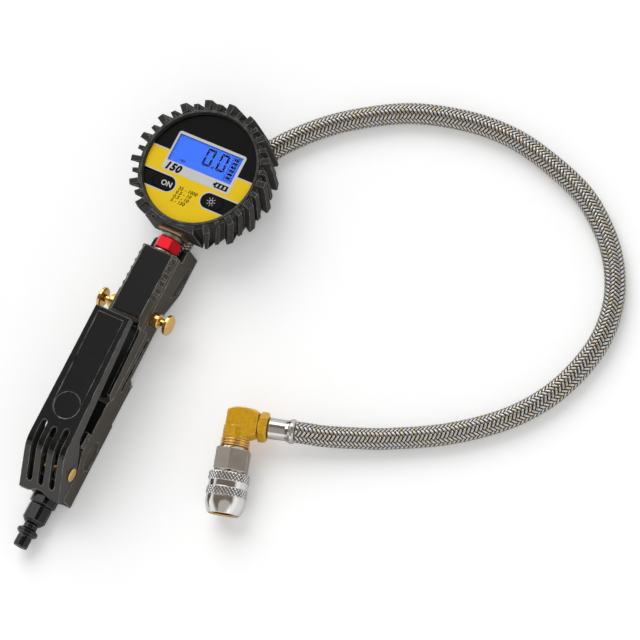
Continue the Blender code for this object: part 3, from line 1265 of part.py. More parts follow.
def make_elbow(frame):
    """A square brass elbow with a threaded arm on each outlet, its nut and the far ferrule."""
    half = BLOCK_HALF
    bm = block((-BLOCK_BACK_SIDE, -half, -BLOCK_TOP_SIDE), (BLOCK_ARM_SIDE, half, BLOCK_LOW_SIDE))
    elbow = add_solid("elbow", bm, BRASS, frame)
    middle = (BLOCK_ARM_SIDE - BLOCK_BACK_SIDE) / 2
    corner = math.hypot((BLOCK_ARM_SIDE + BLOCK_BACK_SIDE) / 2, half) + 0.2
    slope = (corner - half + 0.4) / END_CHAMFER
    top = -BLOCK_TOP_SIDE - 1.0
    low_end = BLOCK_LOW_SIDE + 1.0
    turned_ends = [(0.0, top), (half - 0.4 - slope, top), (corner, top + 1.0 + END_CHAMFER),
                   (corner, low_end - 1.0 - END_CHAMFER), (half - 0.4 - slope, low_end), (0.0, low_end)]
    combine(elbow, "turned_ends", turned(turned_ends, "Z", (middle, 0.0), 30), "INTERSECT")
    join(elbow, "arm", turned(rod(ARM_RADIUS, BLOCK_ARM_SIDE - 1.0, ARM_LENGTH), "X", (0.0, 0.0), 20))
    thread = [(0.0, 2.0), (HUB_RADIUS, 2.0), (HUB_RADIUS, HUB_END - 0.6), (THREAD_RADIUS, HUB_END),
              (THREAD_RADIUS, THREAD_END - 0.8), (THREAD_RADIUS - 0.8, THREAD_END), (0.0, THREAD_END)]
    join(elbow, "thread", turned(thread, "Z", (0.0, 0.0), 24))
    cut(elbow, "arm_bore", turned(rod(2.6, -1.0, ARM_LENGTH + 2.0), "X", (0.0, 0.0), 12))
    cut(elbow, "thread_bore", turned(rod(2.8, -1.5, THREAD_END + 2.0), "Z", (0.0, 0.0), 12))
    flats = HOSE_NUT_FLATS / 2
    start = BLOCK_ARM_SIDE + GAP
    end = start + HOSE_NUT_LENGTH
    nut = [(flats - 0.3, start), (flats, start + 0.8, "hex"), (flats, end - 0.8, "hex"), (flats - 0.3, end),
           (ARM_RADIUS + GAP, end), (ARM_RADIUS + GAP, start)]
    add_solid("hose_nut", turned(nut, "X", (0.0, 0.0), 24), BRASS, frame)
    low = end + GAP
    high = low + FAR_FERRULE_LENGTH
    ferrule = [(2.2, low), (5.4, low), (5.9, low + 0.6), (5.7, high - 5.0), (6.2, high - 3.4),
               (6.85, high - 2.2), (6.85, high - 1.0), (6.3, high), (2.2, high)]
    add_solid("hose_ferrule_chuck", turned(ferrule, "X", (0.0, 0.0), 24), CHROME, frame)


def make_chuck(frame):
    """The chuck's fixed pieces: hexagon body, depressor, seal and the brass jaw ring."""
    axis = (0.0, 0.0)
    flats = CHUCK_HEX_FLATS / 2
    chamber = 6.5
    floor = THREAD_END + 11.0
    bore = THREAD_RADIUS + GAP
    body = [(flats - 0.4, CHUCK_HEX_START), (flats, CHUCK_HEX_START + 1.2, "hex"),
            (flats, CHUCK_HEX_END - 1.2, "hex"), (flats - 0.4, CHUCK_HEX_END),
            (BARREL_TUBE_RADIUS - 0.5, CHUCK_HEX_END), (BARREL_TUBE_RADIUS - 0.5, FLANGE_START),
            (FLANGE_RADIUS, FLANGE_START), (FLANGE_RADIUS, FLANGE_END), (chamber, FLANGE_END),
            (chamber, floor), (3.0, floor), (3.0, THREAD_END + GAP), (bore, THREAD_END + GAP),
            (bore, CHUCK_HEX_START)]
    add_solid("chuck_body", turned(body, "Z", axis, 24), CHROME, frame)
    pin = 1.1
    foot = floor + 1.8
    tip = FLANGE_END + 2.2
    depressor = [(0.0, floor + GAP), (chamber - GAP, floor + GAP), (chamber - GAP, foot), (pin, foot),
                 (pin, tip - 0.4), (0.0, tip)]
    add_solid("valve_depressor", turned(depressor, "Z", axis, 16), BRASS, frame)
    seal = tube(chamber - GAP, 2.6, FLANGE_END - 5.0, FLANGE_END - 0.4)
    add_solid("chuck_seal", turned(seal, "Z", axis, 20), SOFT_RUBBER, frame)
    edge = 0.3
    face = SLEEVE_END - 0.4
    jaw = [(JAW_OUTER, FLANGE_END + GAP), (JAW_OUTER, face - edge), (JAW_OUTER - edge, face),
           (JAW_INNER + edge, face), (JAW_INNER, face - edge), (JAW_INNER, FLANGE_END + GAP)]
    add_solid("jaw_ring", turned(jaw, "Z", axis, 20), BRASS, frame)


def make_sleeve(frame):
    """The knurled sleeve that locks the chuck, and its spring."""
    axis = (0.0, 0.0)
    start = SLEEVE_START
    hole = BARREL_TUBE_RADIUS + 0.4
    mouth = JAW_OUTER + 0.4
    counterbore = FLANGE_RADIUS + GAP
    nose = start + KNURL_END
    profile = [(KNURL_RADIUS - 0.6, start), (KNURL_RADIUS, start + 0.6), (KNURL_RADIUS, start + 4.5),
               (KNURL_GROOVE_RADIUS, start + 4.9), (KNURL_GROOVE_RADIUS, start + 8.2),
               (KNURL_RADIUS, start + 8.6), (KNURL_RADIUS, nose - 0.4), (NOSE_SHOULDER, nose),
               (NOSE_SHOULDER, nose + NOSE_STRAIGHT), (NOSE_SHOULDER - 0.5, nose + 5.2),
               (NOSE_RADIUS + 0.5, SLEEVE_END - 1.0), (NOSE_RADIUS, SLEEVE_END), (mouth, SLEEVE_END),
               (mouth, FLANGE_END + 0.6), (counterbore, FLANGE_END + 0.6), (counterbore, start + 0.9),
               (hole, start + 0.9), (hole, start)]
    add_solid("chuck_sleeve", turned(profile, "Z", axis, 30), CHROME, frame)
    wire = 0.7
    radius = BARREL_TUBE_RADIUS - 0.5 + GAP + wire / 2 + 0.35
    low = start + 0.9 + SLEEVE_TRAVEL + GAP + wire / 2
    high = FLANGE_START - GAP - wire / 2
    report_coil_gap("sleeve_spring", high - low, 3, wire)
    add_wire("sleeve_spring", coil_points("Z", axis, radius, low, high, 3, 10), wire / 2, STEEL, frame, 1)


# ---- the whole inflator ----------------------------------------------------------------------
def centre_shift():
    """Brings the middle of the rigid inflator's length to Y = 0."""
    top = GAUGE_Y + BIG_LUG_RADIUS
    tip = -HANDLE_LENGTH - 2 * GAP - ADAPTER_LENGTH - PLUG_HEX_LENGTH - PLUG_NOSE_LENGTH
    return -(top + tip) / 2


def build():
    clear_scene()
    root = add_empty("inflator", (0.0, centre_shift(), 0.0))
    tilt = Matrix.Rotation(-math.radians(90.0 + PORT_TILT), 3, "X")
    port = add_empty("hose_port_axis", (0.0, PORT_Y, PORT_Z), root, tilt)
    make_body(root, port)
    make_cover(root)
    make_cover_screws(root)
    make_lever(root, (0.0, PIVOT_Y, PIVOT_Z))
    make_lever_pin(root)
    make_lever_spring(root)
    make_inlet(root)
    make_valve(root)
    make_plunger(root, (0.0, VALVE_Y, PAD_HEIGHT - GAP))
    make_bleed_barrels(root)
    make_spool(root, (0.0, BLEED_Y, BLEED_Z))
    make_stem(root)
    make_case(root)
    make_front(root)
    make_board(root)
    for name, side in (("power_key", -1), ("light_key", 1)):
        make_key(name, side, root, (side * KEY_X, GAUGE_Y + KEY_Y, FACE_Z))
    make_battery(root)
    make_boot(root)
    make_hose(root, port)
    chuck = add_empty("chuck_axis", (ELBOW_X, ELBOW_Y, elbow_height()), root, chuck_turn())
    make_elbow(chuck)
    make_chuck(chuck)
    make_sleeve(chuck)


build()
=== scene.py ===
import math

import bmesh
import bpy
import numpy as np
from mathutils import Matrix, Vector


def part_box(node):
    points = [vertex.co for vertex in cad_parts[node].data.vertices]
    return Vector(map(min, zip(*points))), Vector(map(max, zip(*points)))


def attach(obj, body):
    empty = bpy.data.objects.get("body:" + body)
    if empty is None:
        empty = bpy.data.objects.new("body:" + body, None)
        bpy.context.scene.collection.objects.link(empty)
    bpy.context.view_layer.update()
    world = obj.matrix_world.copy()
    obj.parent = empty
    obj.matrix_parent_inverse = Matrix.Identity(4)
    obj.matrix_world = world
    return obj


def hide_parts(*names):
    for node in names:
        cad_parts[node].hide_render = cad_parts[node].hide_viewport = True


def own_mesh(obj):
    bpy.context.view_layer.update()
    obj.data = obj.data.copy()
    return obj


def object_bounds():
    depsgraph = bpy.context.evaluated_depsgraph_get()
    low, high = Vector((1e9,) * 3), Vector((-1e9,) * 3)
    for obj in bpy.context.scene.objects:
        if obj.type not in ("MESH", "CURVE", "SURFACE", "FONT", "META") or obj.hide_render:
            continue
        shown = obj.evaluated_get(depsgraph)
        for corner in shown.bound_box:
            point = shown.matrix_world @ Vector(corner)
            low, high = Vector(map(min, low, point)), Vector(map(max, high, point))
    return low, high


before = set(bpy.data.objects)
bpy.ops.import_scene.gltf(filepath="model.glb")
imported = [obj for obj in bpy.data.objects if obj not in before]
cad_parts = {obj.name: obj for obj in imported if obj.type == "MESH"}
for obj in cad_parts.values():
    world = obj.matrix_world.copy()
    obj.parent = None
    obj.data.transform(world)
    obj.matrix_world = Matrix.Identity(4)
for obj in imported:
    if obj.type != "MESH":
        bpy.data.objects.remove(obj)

cad_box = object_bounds()

# ---- camera, floor and light ------------------------------------------------------------------
# A pale table in a soft white studio with a dim ceiling, which bright metal reflects. The camera
# looks down on the inflator from above its right side with a long lens.
HANDLE_TOP_Y = 43.8            # mm from the model's middle to the handle's top edge


def at(x, y, z):
    """A point in metres, from millimetres measured from the handle's top edge."""
    return Vector((x, y + HANDLE_TOP_Y, z)) * 0.001


def node(tree, kind, **settings):
    """A new node. Each setting goes to the socket of that name, or else to the node itself."""
    made = tree.nodes.new(kind)
    for key, value in settings.items():
        if key in made.inputs:
            made.inputs[key].default_value = value
        else:
            setattr(made, key, value)
    return made


def new_material(name):
    """An empty node material, with its node tree and its shader."""
    material = bpy.data.materials.new(name)
    material.use_nodes = True
    return material, material.node_tree, material.node_tree.nodes["Principled BSDF"]


def set_ramp(ramp, *stops):
    """Gives a colour ramp its two stops, each a position and a colour."""
    for element, (position, colour) in zip(ramp.color_ramp.elements, stops):
        element.position = position
        element.color = (*colour, 1.0)


# The camera's own axes are the picture's right and up, and the way back to the lens.
right = Vector((0.86269, 0.45188, -0.22710))
up = Vector((-0.36757, 0.86866, 0.33215))
back = Vector((0.34736, -0.20306, 0.91548))
eye = at(765.42, -388.83, 1777.90)
camera_data = bpy.data.cameras.new("camera")
camera_data.lens = 200.0
camera_data.sensor_width = 36.0
camera_data.clip_end = 20.0
camera = bpy.data.objects.new("camera", camera_data)
turn = Matrix((right, up, back)).transposed().to_4x4()
camera.matrix_world = Matrix.Translation(eye) @ turn
bpy.context.collection.objects.link(camera)
bpy.context.scene.camera = camera
bpy.context.scene.view_settings.view_transform = "Standard"

TABLE_REACH = 4.0              # m each way
TABLE_DROP = 0.0002            # m under the lowest piece
TABLE_GLOW = 0.20
floor_mesh = bpy.data.meshes.new("table_top")
corners = [(x * TABLE_REACH, y * TABLE_REACH, 0.0) for x, y in ((-1, -1), (1, -1), (1, 1), (-1, 1))]
floor_mesh.from_pydata(corners, [], [(0, 1, 2, 3)])
table_top = bpy.data.objects.new("table_top", floor_mesh)
table_top.location.z = cad_box[0][2] - TABLE_DROP
bpy.context.collection.objects.link(table_top)
paper, tree, shader = new_material("white_paper")
shader.inputs["Roughness"].default_value = 0.9
shader.inputs["Specular IOR Level"].default_value = 0.1
fibres = node(tree, "ShaderNodeTexNoise", Scale=900.0)
fibre_tone = node(tree, "ShaderNodeMixRGB", Color1=(0.90, 0.90, 0.90, 1.0), Color2=(0.93, 0.93, 0.93, 1.0))
tree.links.new(fibres.outputs["Fac"], fibre_tone.inputs["Fac"])
tree.links.new(fibre_tone.outputs["Color"], shader.inputs["Base Color"])
seen = node(tree, "ShaderNodeLightPath")
glow = node(tree, "ShaderNodeMath", operation="MULTIPLY")
glow.inputs[1].default_value = TABLE_GLOW
tree.links.new(seen.outputs["Is Camera Ray"], glow.inputs[0])
shader.inputs["Emission Color"].default_value = (1.0, 1.0, 1.0, 1.0)
tree.links.new(glow.outputs["Value"], shader.inputs["Emission Strength"])
floor_mesh.materials.append(paper)

LOW_LIGHT = (0.38, (1.0, 1.0, 1.0))          # what metal reflects near the horizon
CEILING = (0.60, (0.16, 0.13, 0.105))        # and overhead
STUDIO_LEVEL = 0.50
world = bpy.data.worlds.new("studio")
bpy.context.scene.world = world
world.use_nodes = True
sky = world.node_tree
backdrop = sky.nodes["Background"]
path = node(sky, "ShaderNodeLightPath")
way = node(sky, "ShaderNodeTexCoord")
height_of = node(sky, "ShaderNodeSeparateXYZ")
overhead = node(sky, "ShaderNodeValToRGB")
set_ramp(overhead, LOW_LIGHT, CEILING)
seen_in_metal = node(sky, "ShaderNodeMixRGB", Color1=(1.0, 1.0, 1.0, 1.0))
sky.links.new(way.outputs["Generated"], height_of.inputs["Vector"])
sky.links.new(height_of.outputs["Z"], overhead.inputs["Fac"])
sky.links.new(path.outputs["Is Glossy Ray"], seen_in_metal.inputs["Fac"])
sky.links.new(overhead.outputs["Color"], seen_in_metal.inputs["Color2"])
sky.links.new(seen_in_metal.outputs["Color"], backdrop.inputs["Color"])
either = node(sky, "ShaderNodeMath", operation="MAXIMUM")
any_ray = node(sky, "ShaderNodeMath", operation="MAXIMUM")
strength = node(sky, "ShaderNodeMapRange")
strength.inputs["To Min"].default_value = STUDIO_LEVEL
strength.inputs["To Max"].default_value = 1.0
sky.links.new(path.outputs["Is Camera Ray"], either.inputs[0])
sky.links.new(path.outputs["Is Glossy Ray"], either.inputs[1])
sky.links.new(either.outputs["Value"], any_ray.inputs[0])
sky.links.new(path.outputs["Is Transmission Ray"], any_ray.inputs[1])
sky.links.new(any_ray.outputs["Value"], strength.inputs["Value"])
sky.links.new(strength.outputs["Result"], backdrop.inputs["Strength"])

for lamp_name, power, spread, tilt_x, tilt_y in (("soft_key", 1.35, 50.0, -28.0, -32.0),
                                                 ("soft_fill", 0.35, 70.0, 35.0, 30.0)):
    lamp = bpy.data.lights.new(lamp_name, "SUN")
    lamp.energy = power
    lamp.angle = math.radians(spread)
    lamp_object = bpy.data.objects.new(lamp_name, lamp)
    lamp_object.rotation_euler = (math.radians(tilt_x), math.radians(tilt_y), 0.0)
    bpy.context.collection.objects.link(lamp_object)


# ---- braided hose -----------------------------------------------------------------------------
# A rubber hose in a stainless braid, 12.2 mm across. Twelve round strands each way pass over two
# and under two, which makes rows of chevrons with small gaps between the strands, painted dark as shade.
HOSE_RADIUS = 5.97             # the strands' tops, just inside the CAD hose
STRANDS = 12                   # in each direction
STRAND_STEP = 2.3              # mm along the hose from one strand to the next
STRAND_SHARE = 0.80            # of that step that the strand itself fills
HOSE_AROUND = 108
HOSE_STEP = 0.36               # mm from ring to ring
BRAID_RELIEF = 0.55
DIVE_HEIGHT = 0.55             # how high a strand stays where it dives under the next
STRAND_WIRES = 5

hose_route = [
    (0.0, 2.0, 7.83), (0.0, 8.2, 7.07), (0.0, 14.5, 6.35), (1.6, 32.0, 6.15),
    (7.2, 53.0, 6.15), (16.6, 74.0, 6.15), (28.2, 91.2, 6.15), (45.1, 108.1, 6.15),
    (63.9, 121.2, 6.15), (84.0, 131.6, 6.15), (106.2, 137.9, 6.15), (131.0, 140.8, 6.15),
    (156.9, 138.2, 6.15), (191.5, 126.9, 6.15), (214.1, 111.2, 6.15), (229.7, 92.8, 6.15),
    (238.5, 71.8, 6.15), (239.7, 47.8, 6.15), (231.3, 19.8, 6.15), (214.7, -4.1, 6.15),
    (188.9, -25.1, 6.3), (160.4, -40.8, 7.0), (141.5, -49.0, 8.2),
]
ELBOW_PLACE = Vector((82.95, -68.3, 16.229))
heading = math.radians(17.2)
dip = math.radians(8.0)
nose_dip = math.radians(7.0)
arm_way = Vector((math.cos(heading) * math.cos(dip), math.sin(heading) * math.cos(dip), -math.sin(dip)))
swing = heading - math.asin(math.tan(nose_dip) * math.tan(dip))
chuck_way = Vector((math.sin(swing) * math.cos(nose_dip), -math.cos(swing) * math.cos(nose_dip),
                    -math.sin(nose_dip)))
ARM_FACE = 31.2                # the far ferrule's end, from the elbow's middle
for reach in (16.0, 8.0, 0.5):      # the hose runs straight into the ferrule
    hose_route.append(tuple(ELBOW_PLACE + arm_way * (ARM_FACE + reach)))


def smooth_path(points, spacing):
    """Evenly spaced points along a smooth curve through the route."""
    dense = []
    for i in range(len(points) - 1):
        p0 = Vector(points[max(i - 1, 0)])
        p1 = Vector(points[i])
        p2 = Vector(points[i + 1])
        p3 = Vector(points[min(i + 2, len(points) - 1)])
        for k in range(40):
            t = k / 40
            dense.append(0.5 * (2 * p1 + (p2 - p0) * t + (2 * p0 - 5 * p1 + 4 * p2 - p3) * t ** 2
                                + (3 * p1 - p0 - 3 * p2 + p3) * t ** 3))
    dense.append(Vector(points[-1]))
    dense = np.array([tuple(p) for p in dense])
    travelled = np.concatenate([[0.0], np.cumsum(np.linalg.norm(np.diff(dense, axis=0), axis=1))])
    count = int(round(travelled[-1] / spacing))
    even = np.linspace(0.0, travelled[-1], count + 1)
    return np.stack([np.interp(even, travelled, dense[:, k]) for k in range(3)], axis=1), even


def weave(turn_share, along):
    """Height of the braid from 0 to 1, and whether the strand on top leans forward."""
    lean_on = STRANDS * turn_share + along / STRAND_STEP
    lean_back = STRANDS * turn_share - along / STRAND_STEP
    i = np.floor(lean_on)
    j = np.floor(lean_back)
    forward = np.mod(i + j, 4) < 2
    across = np.where(forward, lean_on - i, lean_back - j)
    length = np.where(forward, np.mod(lean_back + i, 4) / 2, (np.mod(lean_on + j, 4) - 2) / 2)
    crown = np.sqrt(np.clip(1.0 - ((2 * across - 1) / STRAND_SHARE) ** 2, 0.0, 1.0))
    return crown * (DIVE_HEIGHT + (1.0 - DIVE_HEIGHT) * np.sin(np.pi * length)), forward


def steel_braid():
    """Drawn stainless wire: fine ridges along each strand, warm stains, and painted shade in the gaps."""
    material, tree, shader = new_material("steel_braid")
    links = tree.links
    height = node(tree, "ShaderNodeAttribute", attribute_name="height")
    over = node(tree, "ShaderNodeAttribute", attribute_name="forward")
    strands = node(tree, "ShaderNodeUVMap", uv_map="strands")
    split = node(tree, "ShaderNodeSeparateXYZ")
    links.new(strands.outputs["UV"], split.inputs["Vector"])
    ridges = []
    for axis in ("X", "Y"):
        many = node(tree, "ShaderNodeMath", operation="MULTIPLY")
        many.inputs[1].default_value = math.tau * STRAND_WIRES
        wave = node(tree, "ShaderNodeMath", operation="SINE")
        links.new(split.outputs[axis], many.inputs[0])
        links.new(many.outputs["Value"], wave.inputs[0])
        ridges.append(wave)
    wires = node(tree, "ShaderNodeMixRGB")
    links.new(over.outputs["Fac"], wires.inputs["Fac"])
    links.new(ridges[1].outputs["Value"], wires.inputs["Color1"])
    links.new(ridges[0].outputs["Value"], wires.inputs["Color2"])
    place = node(tree, "ShaderNodeTexCoord")
    stain = node(tree, "ShaderNodeTexNoise", Scale=620.0, Detail=1.0)
    links.new(place.outputs["Object"], stain.inputs["Vector"])
    tint = node(tree, "ShaderNodeValToRGB")
    set_ramp(tint, (0.34, (0.60, 0.50, 0.30)), (0.52, (0.66, 0.66, 0.67)))
    links.new(stain.outputs["Fac"], tint.inputs["Fac"])
    # Painted shade: the braid's low parts, its gaps and where a strand dives under the next, are darkened.
    depth = node(tree, "ShaderNodeValToRGB")
    set_ramp(depth, (0.30, (0.015, 0.014, 0.012)), (0.70, (1.0, 1.0, 1.0)))
    links.new(height.outputs["Fac"], depth.inputs["Fac"])
    shade = node(tree, "ShaderNodeMixRGB", blend_type="MULTIPLY", Fac=1.0)
    links.new(tint.outputs["Color"], shade.inputs["Color1"])
    links.new(depth.outputs["Color"], shade.inputs["Color2"])
    links.new(shade.outputs["Color"], shader.inputs["Base Color"])
    shader.inputs["Metallic"].default_value = 0.9
    gloss = node(tree, "ShaderNodeMapRange")
    gloss.inputs["To Min"].default_value = 0.22
    gloss.inputs["To Max"].default_value = 0.42
    links.new(stain.outputs["Fac"], gloss.inputs["Value"])
    links.new(gloss.outputs["Result"], shader.inputs["Roughness"])
    bump = node(tree, "ShaderNodeBump", Strength=0.35, Distance=0.00006)
    links.new(wires.outputs["Color"], bump.inputs["Height"])
    links.new(bump.outputs["Normal"], shader.inputs["Normal"])
    return material


def ring_faces(rings, around, closed=False):
    """Faces between one ring of points and the next, and from the last to the first if closed."""
    faces = []
    for i in range(rings if closed else rings - 1):
        j = (i + 1) % rings
        for k in range(around):
            n = (k + 1) % around
            faces.append((i * around + k, i * around + n, j * around + n, j * around + k))
    return faces


def end_faces(rings, around):
    """The two faces that close a tube of such rings."""
    return [tuple(range(around - 1, -1, -1)), tuple((rings - 1) * around + k for k in range(around))]


centres, along = smooth_path(hose_route, HOSE_STEP)
tangents = np.gradient(centres, axis=0)
tangents /= np.linalg.norm(tangents, axis=1)[:, None]
sides = np.cross(tangents, (0.0, 0.0, 1.0))
sides /= np.linalg.norm(sides, axis=1)[:, None]
tops = np.cross(sides, tangents)
shares = np.arange(HOSE_AROUND) / HOSE_AROUND
angles = math.tau * shares
relief, forward = weave(shares[None, :], along[:, None])
radii = HOSE_RADIUS - BRAID_RELIEF * (1.0 - relief)
ring_points = centres[:, None, :] + radii[:, :, None] * (
    np.cos(angles)[None, :, None] * sides[:, None, :] + np.sin(angles)[None, :, None] * tops[:, None, :])
hose_points = [tuple(at(*p)) for p in ring_points.reshape(-1, 3)]
rings = len(centres)
hose_mesh = bpy.data.meshes.new("braided_hose")
hose_mesh.from_pydata(hose_points, [], ring_faces(rings, HOSE_AROUND) + end_faces(rings, HOSE_AROUND))
for label, values in (("height", relief), ("forward", forward.astype(float))):
    hose_mesh.attributes.new(label, "FLOAT", "POINT").data.foreach_set("value", values.ravel())
strand_map = hose_mesh.uv_layers.new(name="strands")
flat_map = np.zeros((len(hose_mesh.loops), 2))
loop = 0
for i in range(rings - 1):
    s0 = along[i] / STRAND_STEP
    s1 = along[i + 1] / STRAND_STEP
    for k in range(HOSE_AROUND):
        t0 = STRANDS * k / HOSE_AROUND
        t1 = STRANDS * (k + 1) / HOSE_AROUND
        flat_map[loop:loop + 4] = [(t + s, t - s) for t, s in ((t0, s0), (t1, s0), (t1, s1), (t0, s1))]
        loop += 4
strand_map.data.foreach_set("uv", flat_map.ravel())
hose_mesh.shade_smooth()
hose_mesh.materials.append(steel_braid())
hose_piece = bpy.data.objects.new("braided_hose", hose_mesh)
bpy.context.collection.objects.link(hose_piece)
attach(hose_piece, "handle")
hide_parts("hose")


# ---- hose ferrules ----------------------------------------------------------------------------
# Two bright-plated steel sleeves crimped onto the hose's ends, a little clouded from handling.
# Their finish comes from the recipe that most of the pieces below share.
def finish(name, colour, other, roughness, metallic, grain=0.5, bump=0.2, wear_and_highlight=None, edge=0.25, patch=14.0,
           gloss_range=0.10, shine=0.5, slope=None, hollow=None):
    """A procedural finish. grain and patch are the sizes in mm of its fine and broad variation,
    edge is how far its rounded edges reach, and the edge colour is what they are scuffed to and also a
    painted highlight. slope is a painted sheen on faces that don't face up, which stands for reflected
    studio light, and the groove colour paints grime and painted shade into cut grooves."""
    material, tree, shader = new_material(name)
    links = tree.links
    place = node(tree, "ShaderNodeTexCoord")
    broad = node(tree, "ShaderNodeTexNoise", Scale=1000.0 / patch, Detail=4.0)
    fine = node(tree, "ShaderNodeTexNoise", Scale=1000.0 / grain, Detail=2.0)
    links.new(place.outputs["Object"], broad.inputs["Vector"])
    links.new(place.outputs["Object"], fine.inputs["Vector"])
    tone = node(tree, "ShaderNodeMixRGB", Color1=(*colour, 1.0), Color2=(*other, 1.0))
    links.new(broad.outputs["Fac"], tone.inputs["Fac"])
    colour_out = tone.outputs["Color"]
    rim = node(tree, "ShaderNodeBevel", samples=4, Radius=edge * 0.001)
    # Painted sheen: faces that don't face up are tinted lighter, standing for the studio light they reflect.
    if slope:
        parts = node(tree, "ShaderNodeSeparateXYZ")
        links.new(place.outputs["Normal"], parts.inputs["Vector"])
        turned = node(tree, "ShaderNodeMapRange")
        turned.inputs["From Min"].default_value = 0.94
        turned.inputs["From Max"].default_value = 0.80
        links.new(parts.outputs["Z"], turned.inputs["Value"])
        side_sheen = node(tree, "ShaderNodeMixRGB", Color2=(*slope, 1.0))
        links.new(turned.outputs["Result"], side_sheen.inputs["Fac"])
        links.new(colour_out, side_sheen.inputs["Color1"])
        colour_out = side_sheen.outputs["Color"]
    # Rounded edges are lightened in patches, partly as scuffing and partly as a painted highlight.
    if wear_and_highlight:
        shape = node(tree, "ShaderNodeNewGeometry")
        same = node(tree, "ShaderNodeVectorMath", operation="DOT_PRODUCT")
        links.new(rim.outputs["Normal"], same.inputs[0])
        links.new(shape.outputs["Normal"], same.inputs[1])
        near = node(tree, "ShaderNodeMapRange")
        near.inputs["From Min"].default_value = 0.995
        near.inputs["From Max"].default_value = 0.90
        links.new(same.outputs["Value"], near.inputs["Value"])
        patchy = node(tree, "ShaderNodeMapRange")
        patchy.inputs["From Min"].default_value = 0.28
        patchy.inputs["From Max"].default_value = 0.62
        links.new(broad.outputs["Fac"], patchy.inputs["Value"])
        rubbed_and_highlit = node(tree, "ShaderNodeMath", operation="MULTIPLY")
        links.new(near.outputs["Result"], rubbed_and_highlit.inputs[0])
        links.new(patchy.outputs["Result"], rubbed_and_highlit.inputs[1])
        worn_and_highlit = node(tree, "ShaderNodeMixRGB", Color2=(*wear_and_highlight, 1.0))
        links.new(rubbed_and_highlit.outputs["Value"], worn_and_highlit.inputs["Fac"])
        links.new(colour_out, worn_and_highlit.inputs["Color1"])
        colour_out = worn_and_highlit.outputs["Color"]
    # Cut grooves are darkened, partly as grime and partly as painted shade.
    if hollow:
        sunk = node(tree, "ShaderNodeAttribute", attribute_name="hollow")
        grimed_and_shaded = node(tree, "ShaderNodeMixRGB", Color2=(*hollow, 1.0))
        links.new(sunk.outputs["Fac"], grimed_and_shaded.inputs["Fac"])
        links.new(colour_out, grimed_and_shaded.inputs["Color1"])
        colour_out = grimed_and_shaded.outputs["Color"]
    links.new(colour_out, shader.inputs["Base Color"])
    gloss = node(tree, "ShaderNodeMapRange")
    gloss.inputs["To Min"].default_value = max(0.03, roughness - gloss_range)
    gloss.inputs["To Max"].default_value = min(1.0, roughness + gloss_range)
    links.new(broad.outputs["Fac"], gloss.inputs["Value"])
    links.new(gloss.outputs["Result"], shader.inputs["Roughness"])
    shader.inputs["Metallic"].default_value = metallic
    shader.inputs["Specular IOR Level"].default_value = shine
    lift = node(tree, "ShaderNodeBump", Strength=bump, Distance=grain * 0.0003)
    links.new(fine.outputs["Fac"], lift.inputs["Height"])
    links.new(rim.outputs["Normal"], lift.inputs["Normal"])
    links.new(lift.outputs["Normal"], shader.inputs["Normal"])
    return material


def dress(material, *names):
    """Gives CAD pieces their finish."""
    for name in names:
        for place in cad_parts[name].material_slots:
            place.link = "OBJECT"
            place.material = material


bright_plate = finish("bright_plate", (0.48, 0.46, 0.44), (0.66, 0.64, 0.62), 0.12, 1.0, grain=0.8,
                      bump=0.04, edge=0.35, patch=9.0, gloss_range=0.05)
dress(bright_plate, "hose_ferrule_handle", "hose_ferrule_chuck")


# ---- elbow, its nut and thread ----------------------------------------------------------------
# A sand-cast brass elbow with a satin skin, its hexagon nut, and the turned thread that screws
# into the chuck.
elbow_brass = finish("satin_brass", (0.62, 0.30, 0.004), (0.98, 0.57, 0.02), 0.38, 0.60, grain=0.40,
                     bump=0.9, wear_and_highlight=(1.0, 0.78, 0.30), edge=0.45, patch=1.5)
dress(elbow_brass, "elbow", "hose_nut")

chuck_frame = Matrix((arm_way, chuck_way.cross(arm_way), chuck_way)).transposed().to_4x4()
chuck_frame = Matrix.Translation(ELBOW_PLACE) @ chuck_frame


def add_piece(name, mesh, material, body, smooth=35.0):
    """A finished piece that rides on a body, from a mesh in metres."""
    mesh.materials.append(material)
    mesh.shade_smooth()
    mesh.set_sharp_from_angle(angle=math.radians(smooth))
    piece = bpy.data.objects.new(name, mesh)
    bpy.context.collection.objects.link(piece)
    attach(piece, body)
    return piece


def closed_mesh(name, points, faces):
    """A mesh whose faces all look outwards."""
    mesh = bpy.data.meshes.new(name)
    mesh.from_pydata([tuple(p) for p in points], [], faces)
    bm = bmesh.new()
    bm.from_mesh(mesh)
    bmesh.ops.recalc_face_normals(bm, faces=bm.faces)
    bm.to_mesh(mesh)
    bm.free()
    return mesh


def turned_mesh(name, profile, place, segments=64, swell=None):
    """A lathe mesh. profile lists (radius, place along the axis) in mm and closes on itself, place
    carries the axis to the inflator's frame, and swell(angle, z, radius) adds to the radius."""
    points = []
    for radius, z in profile:
        for k in range(segments):
            angle = math.tau * k / segments
            r = radius + (swell(angle, z, radius) if swell else 0.0)
            points.append(at(*(place @ Vector((r * math.cos(angle), r * math.sin(angle), z)))))
    return closed_mesh(name, points, ring_faces(len(profile), segments, closed=True))


def thread_profile(core, crest, start, end, pitch):
    """Ridges along a tube whose inside is just under the core."""
    profile = [(core - 0.3, start)]
    ridges = int((end - start) / pitch)
    for i in range(ridges):
        low = start + i * pitch
        profile += [(core, low), (crest - 0.12, low + pitch * 0.3), (crest, low + pitch * 0.42),
                    (crest, low + pitch * 0.58), (crest - 0.12, low + pitch * 0.7)]
    profile += [(core, start + ridges * pitch), (core - 0.3, start + ridges * pitch)]
    return profile


thread_brass = finish("turned_brass", (0.78, 0.50, 0.16), (0.88, 0.60, 0.26), 0.22, 1.0, grain=0.6,
                      bump=0.05, edge=0.1, patch=5.0)
elbow_thread = turned_mesh("elbow_thread", thread_profile(7.25, 8.05, 8.7, 13.3, 1.45), chuck_frame)
add_piece("elbow_thread", elbow_thread, thread_brass, "handle")


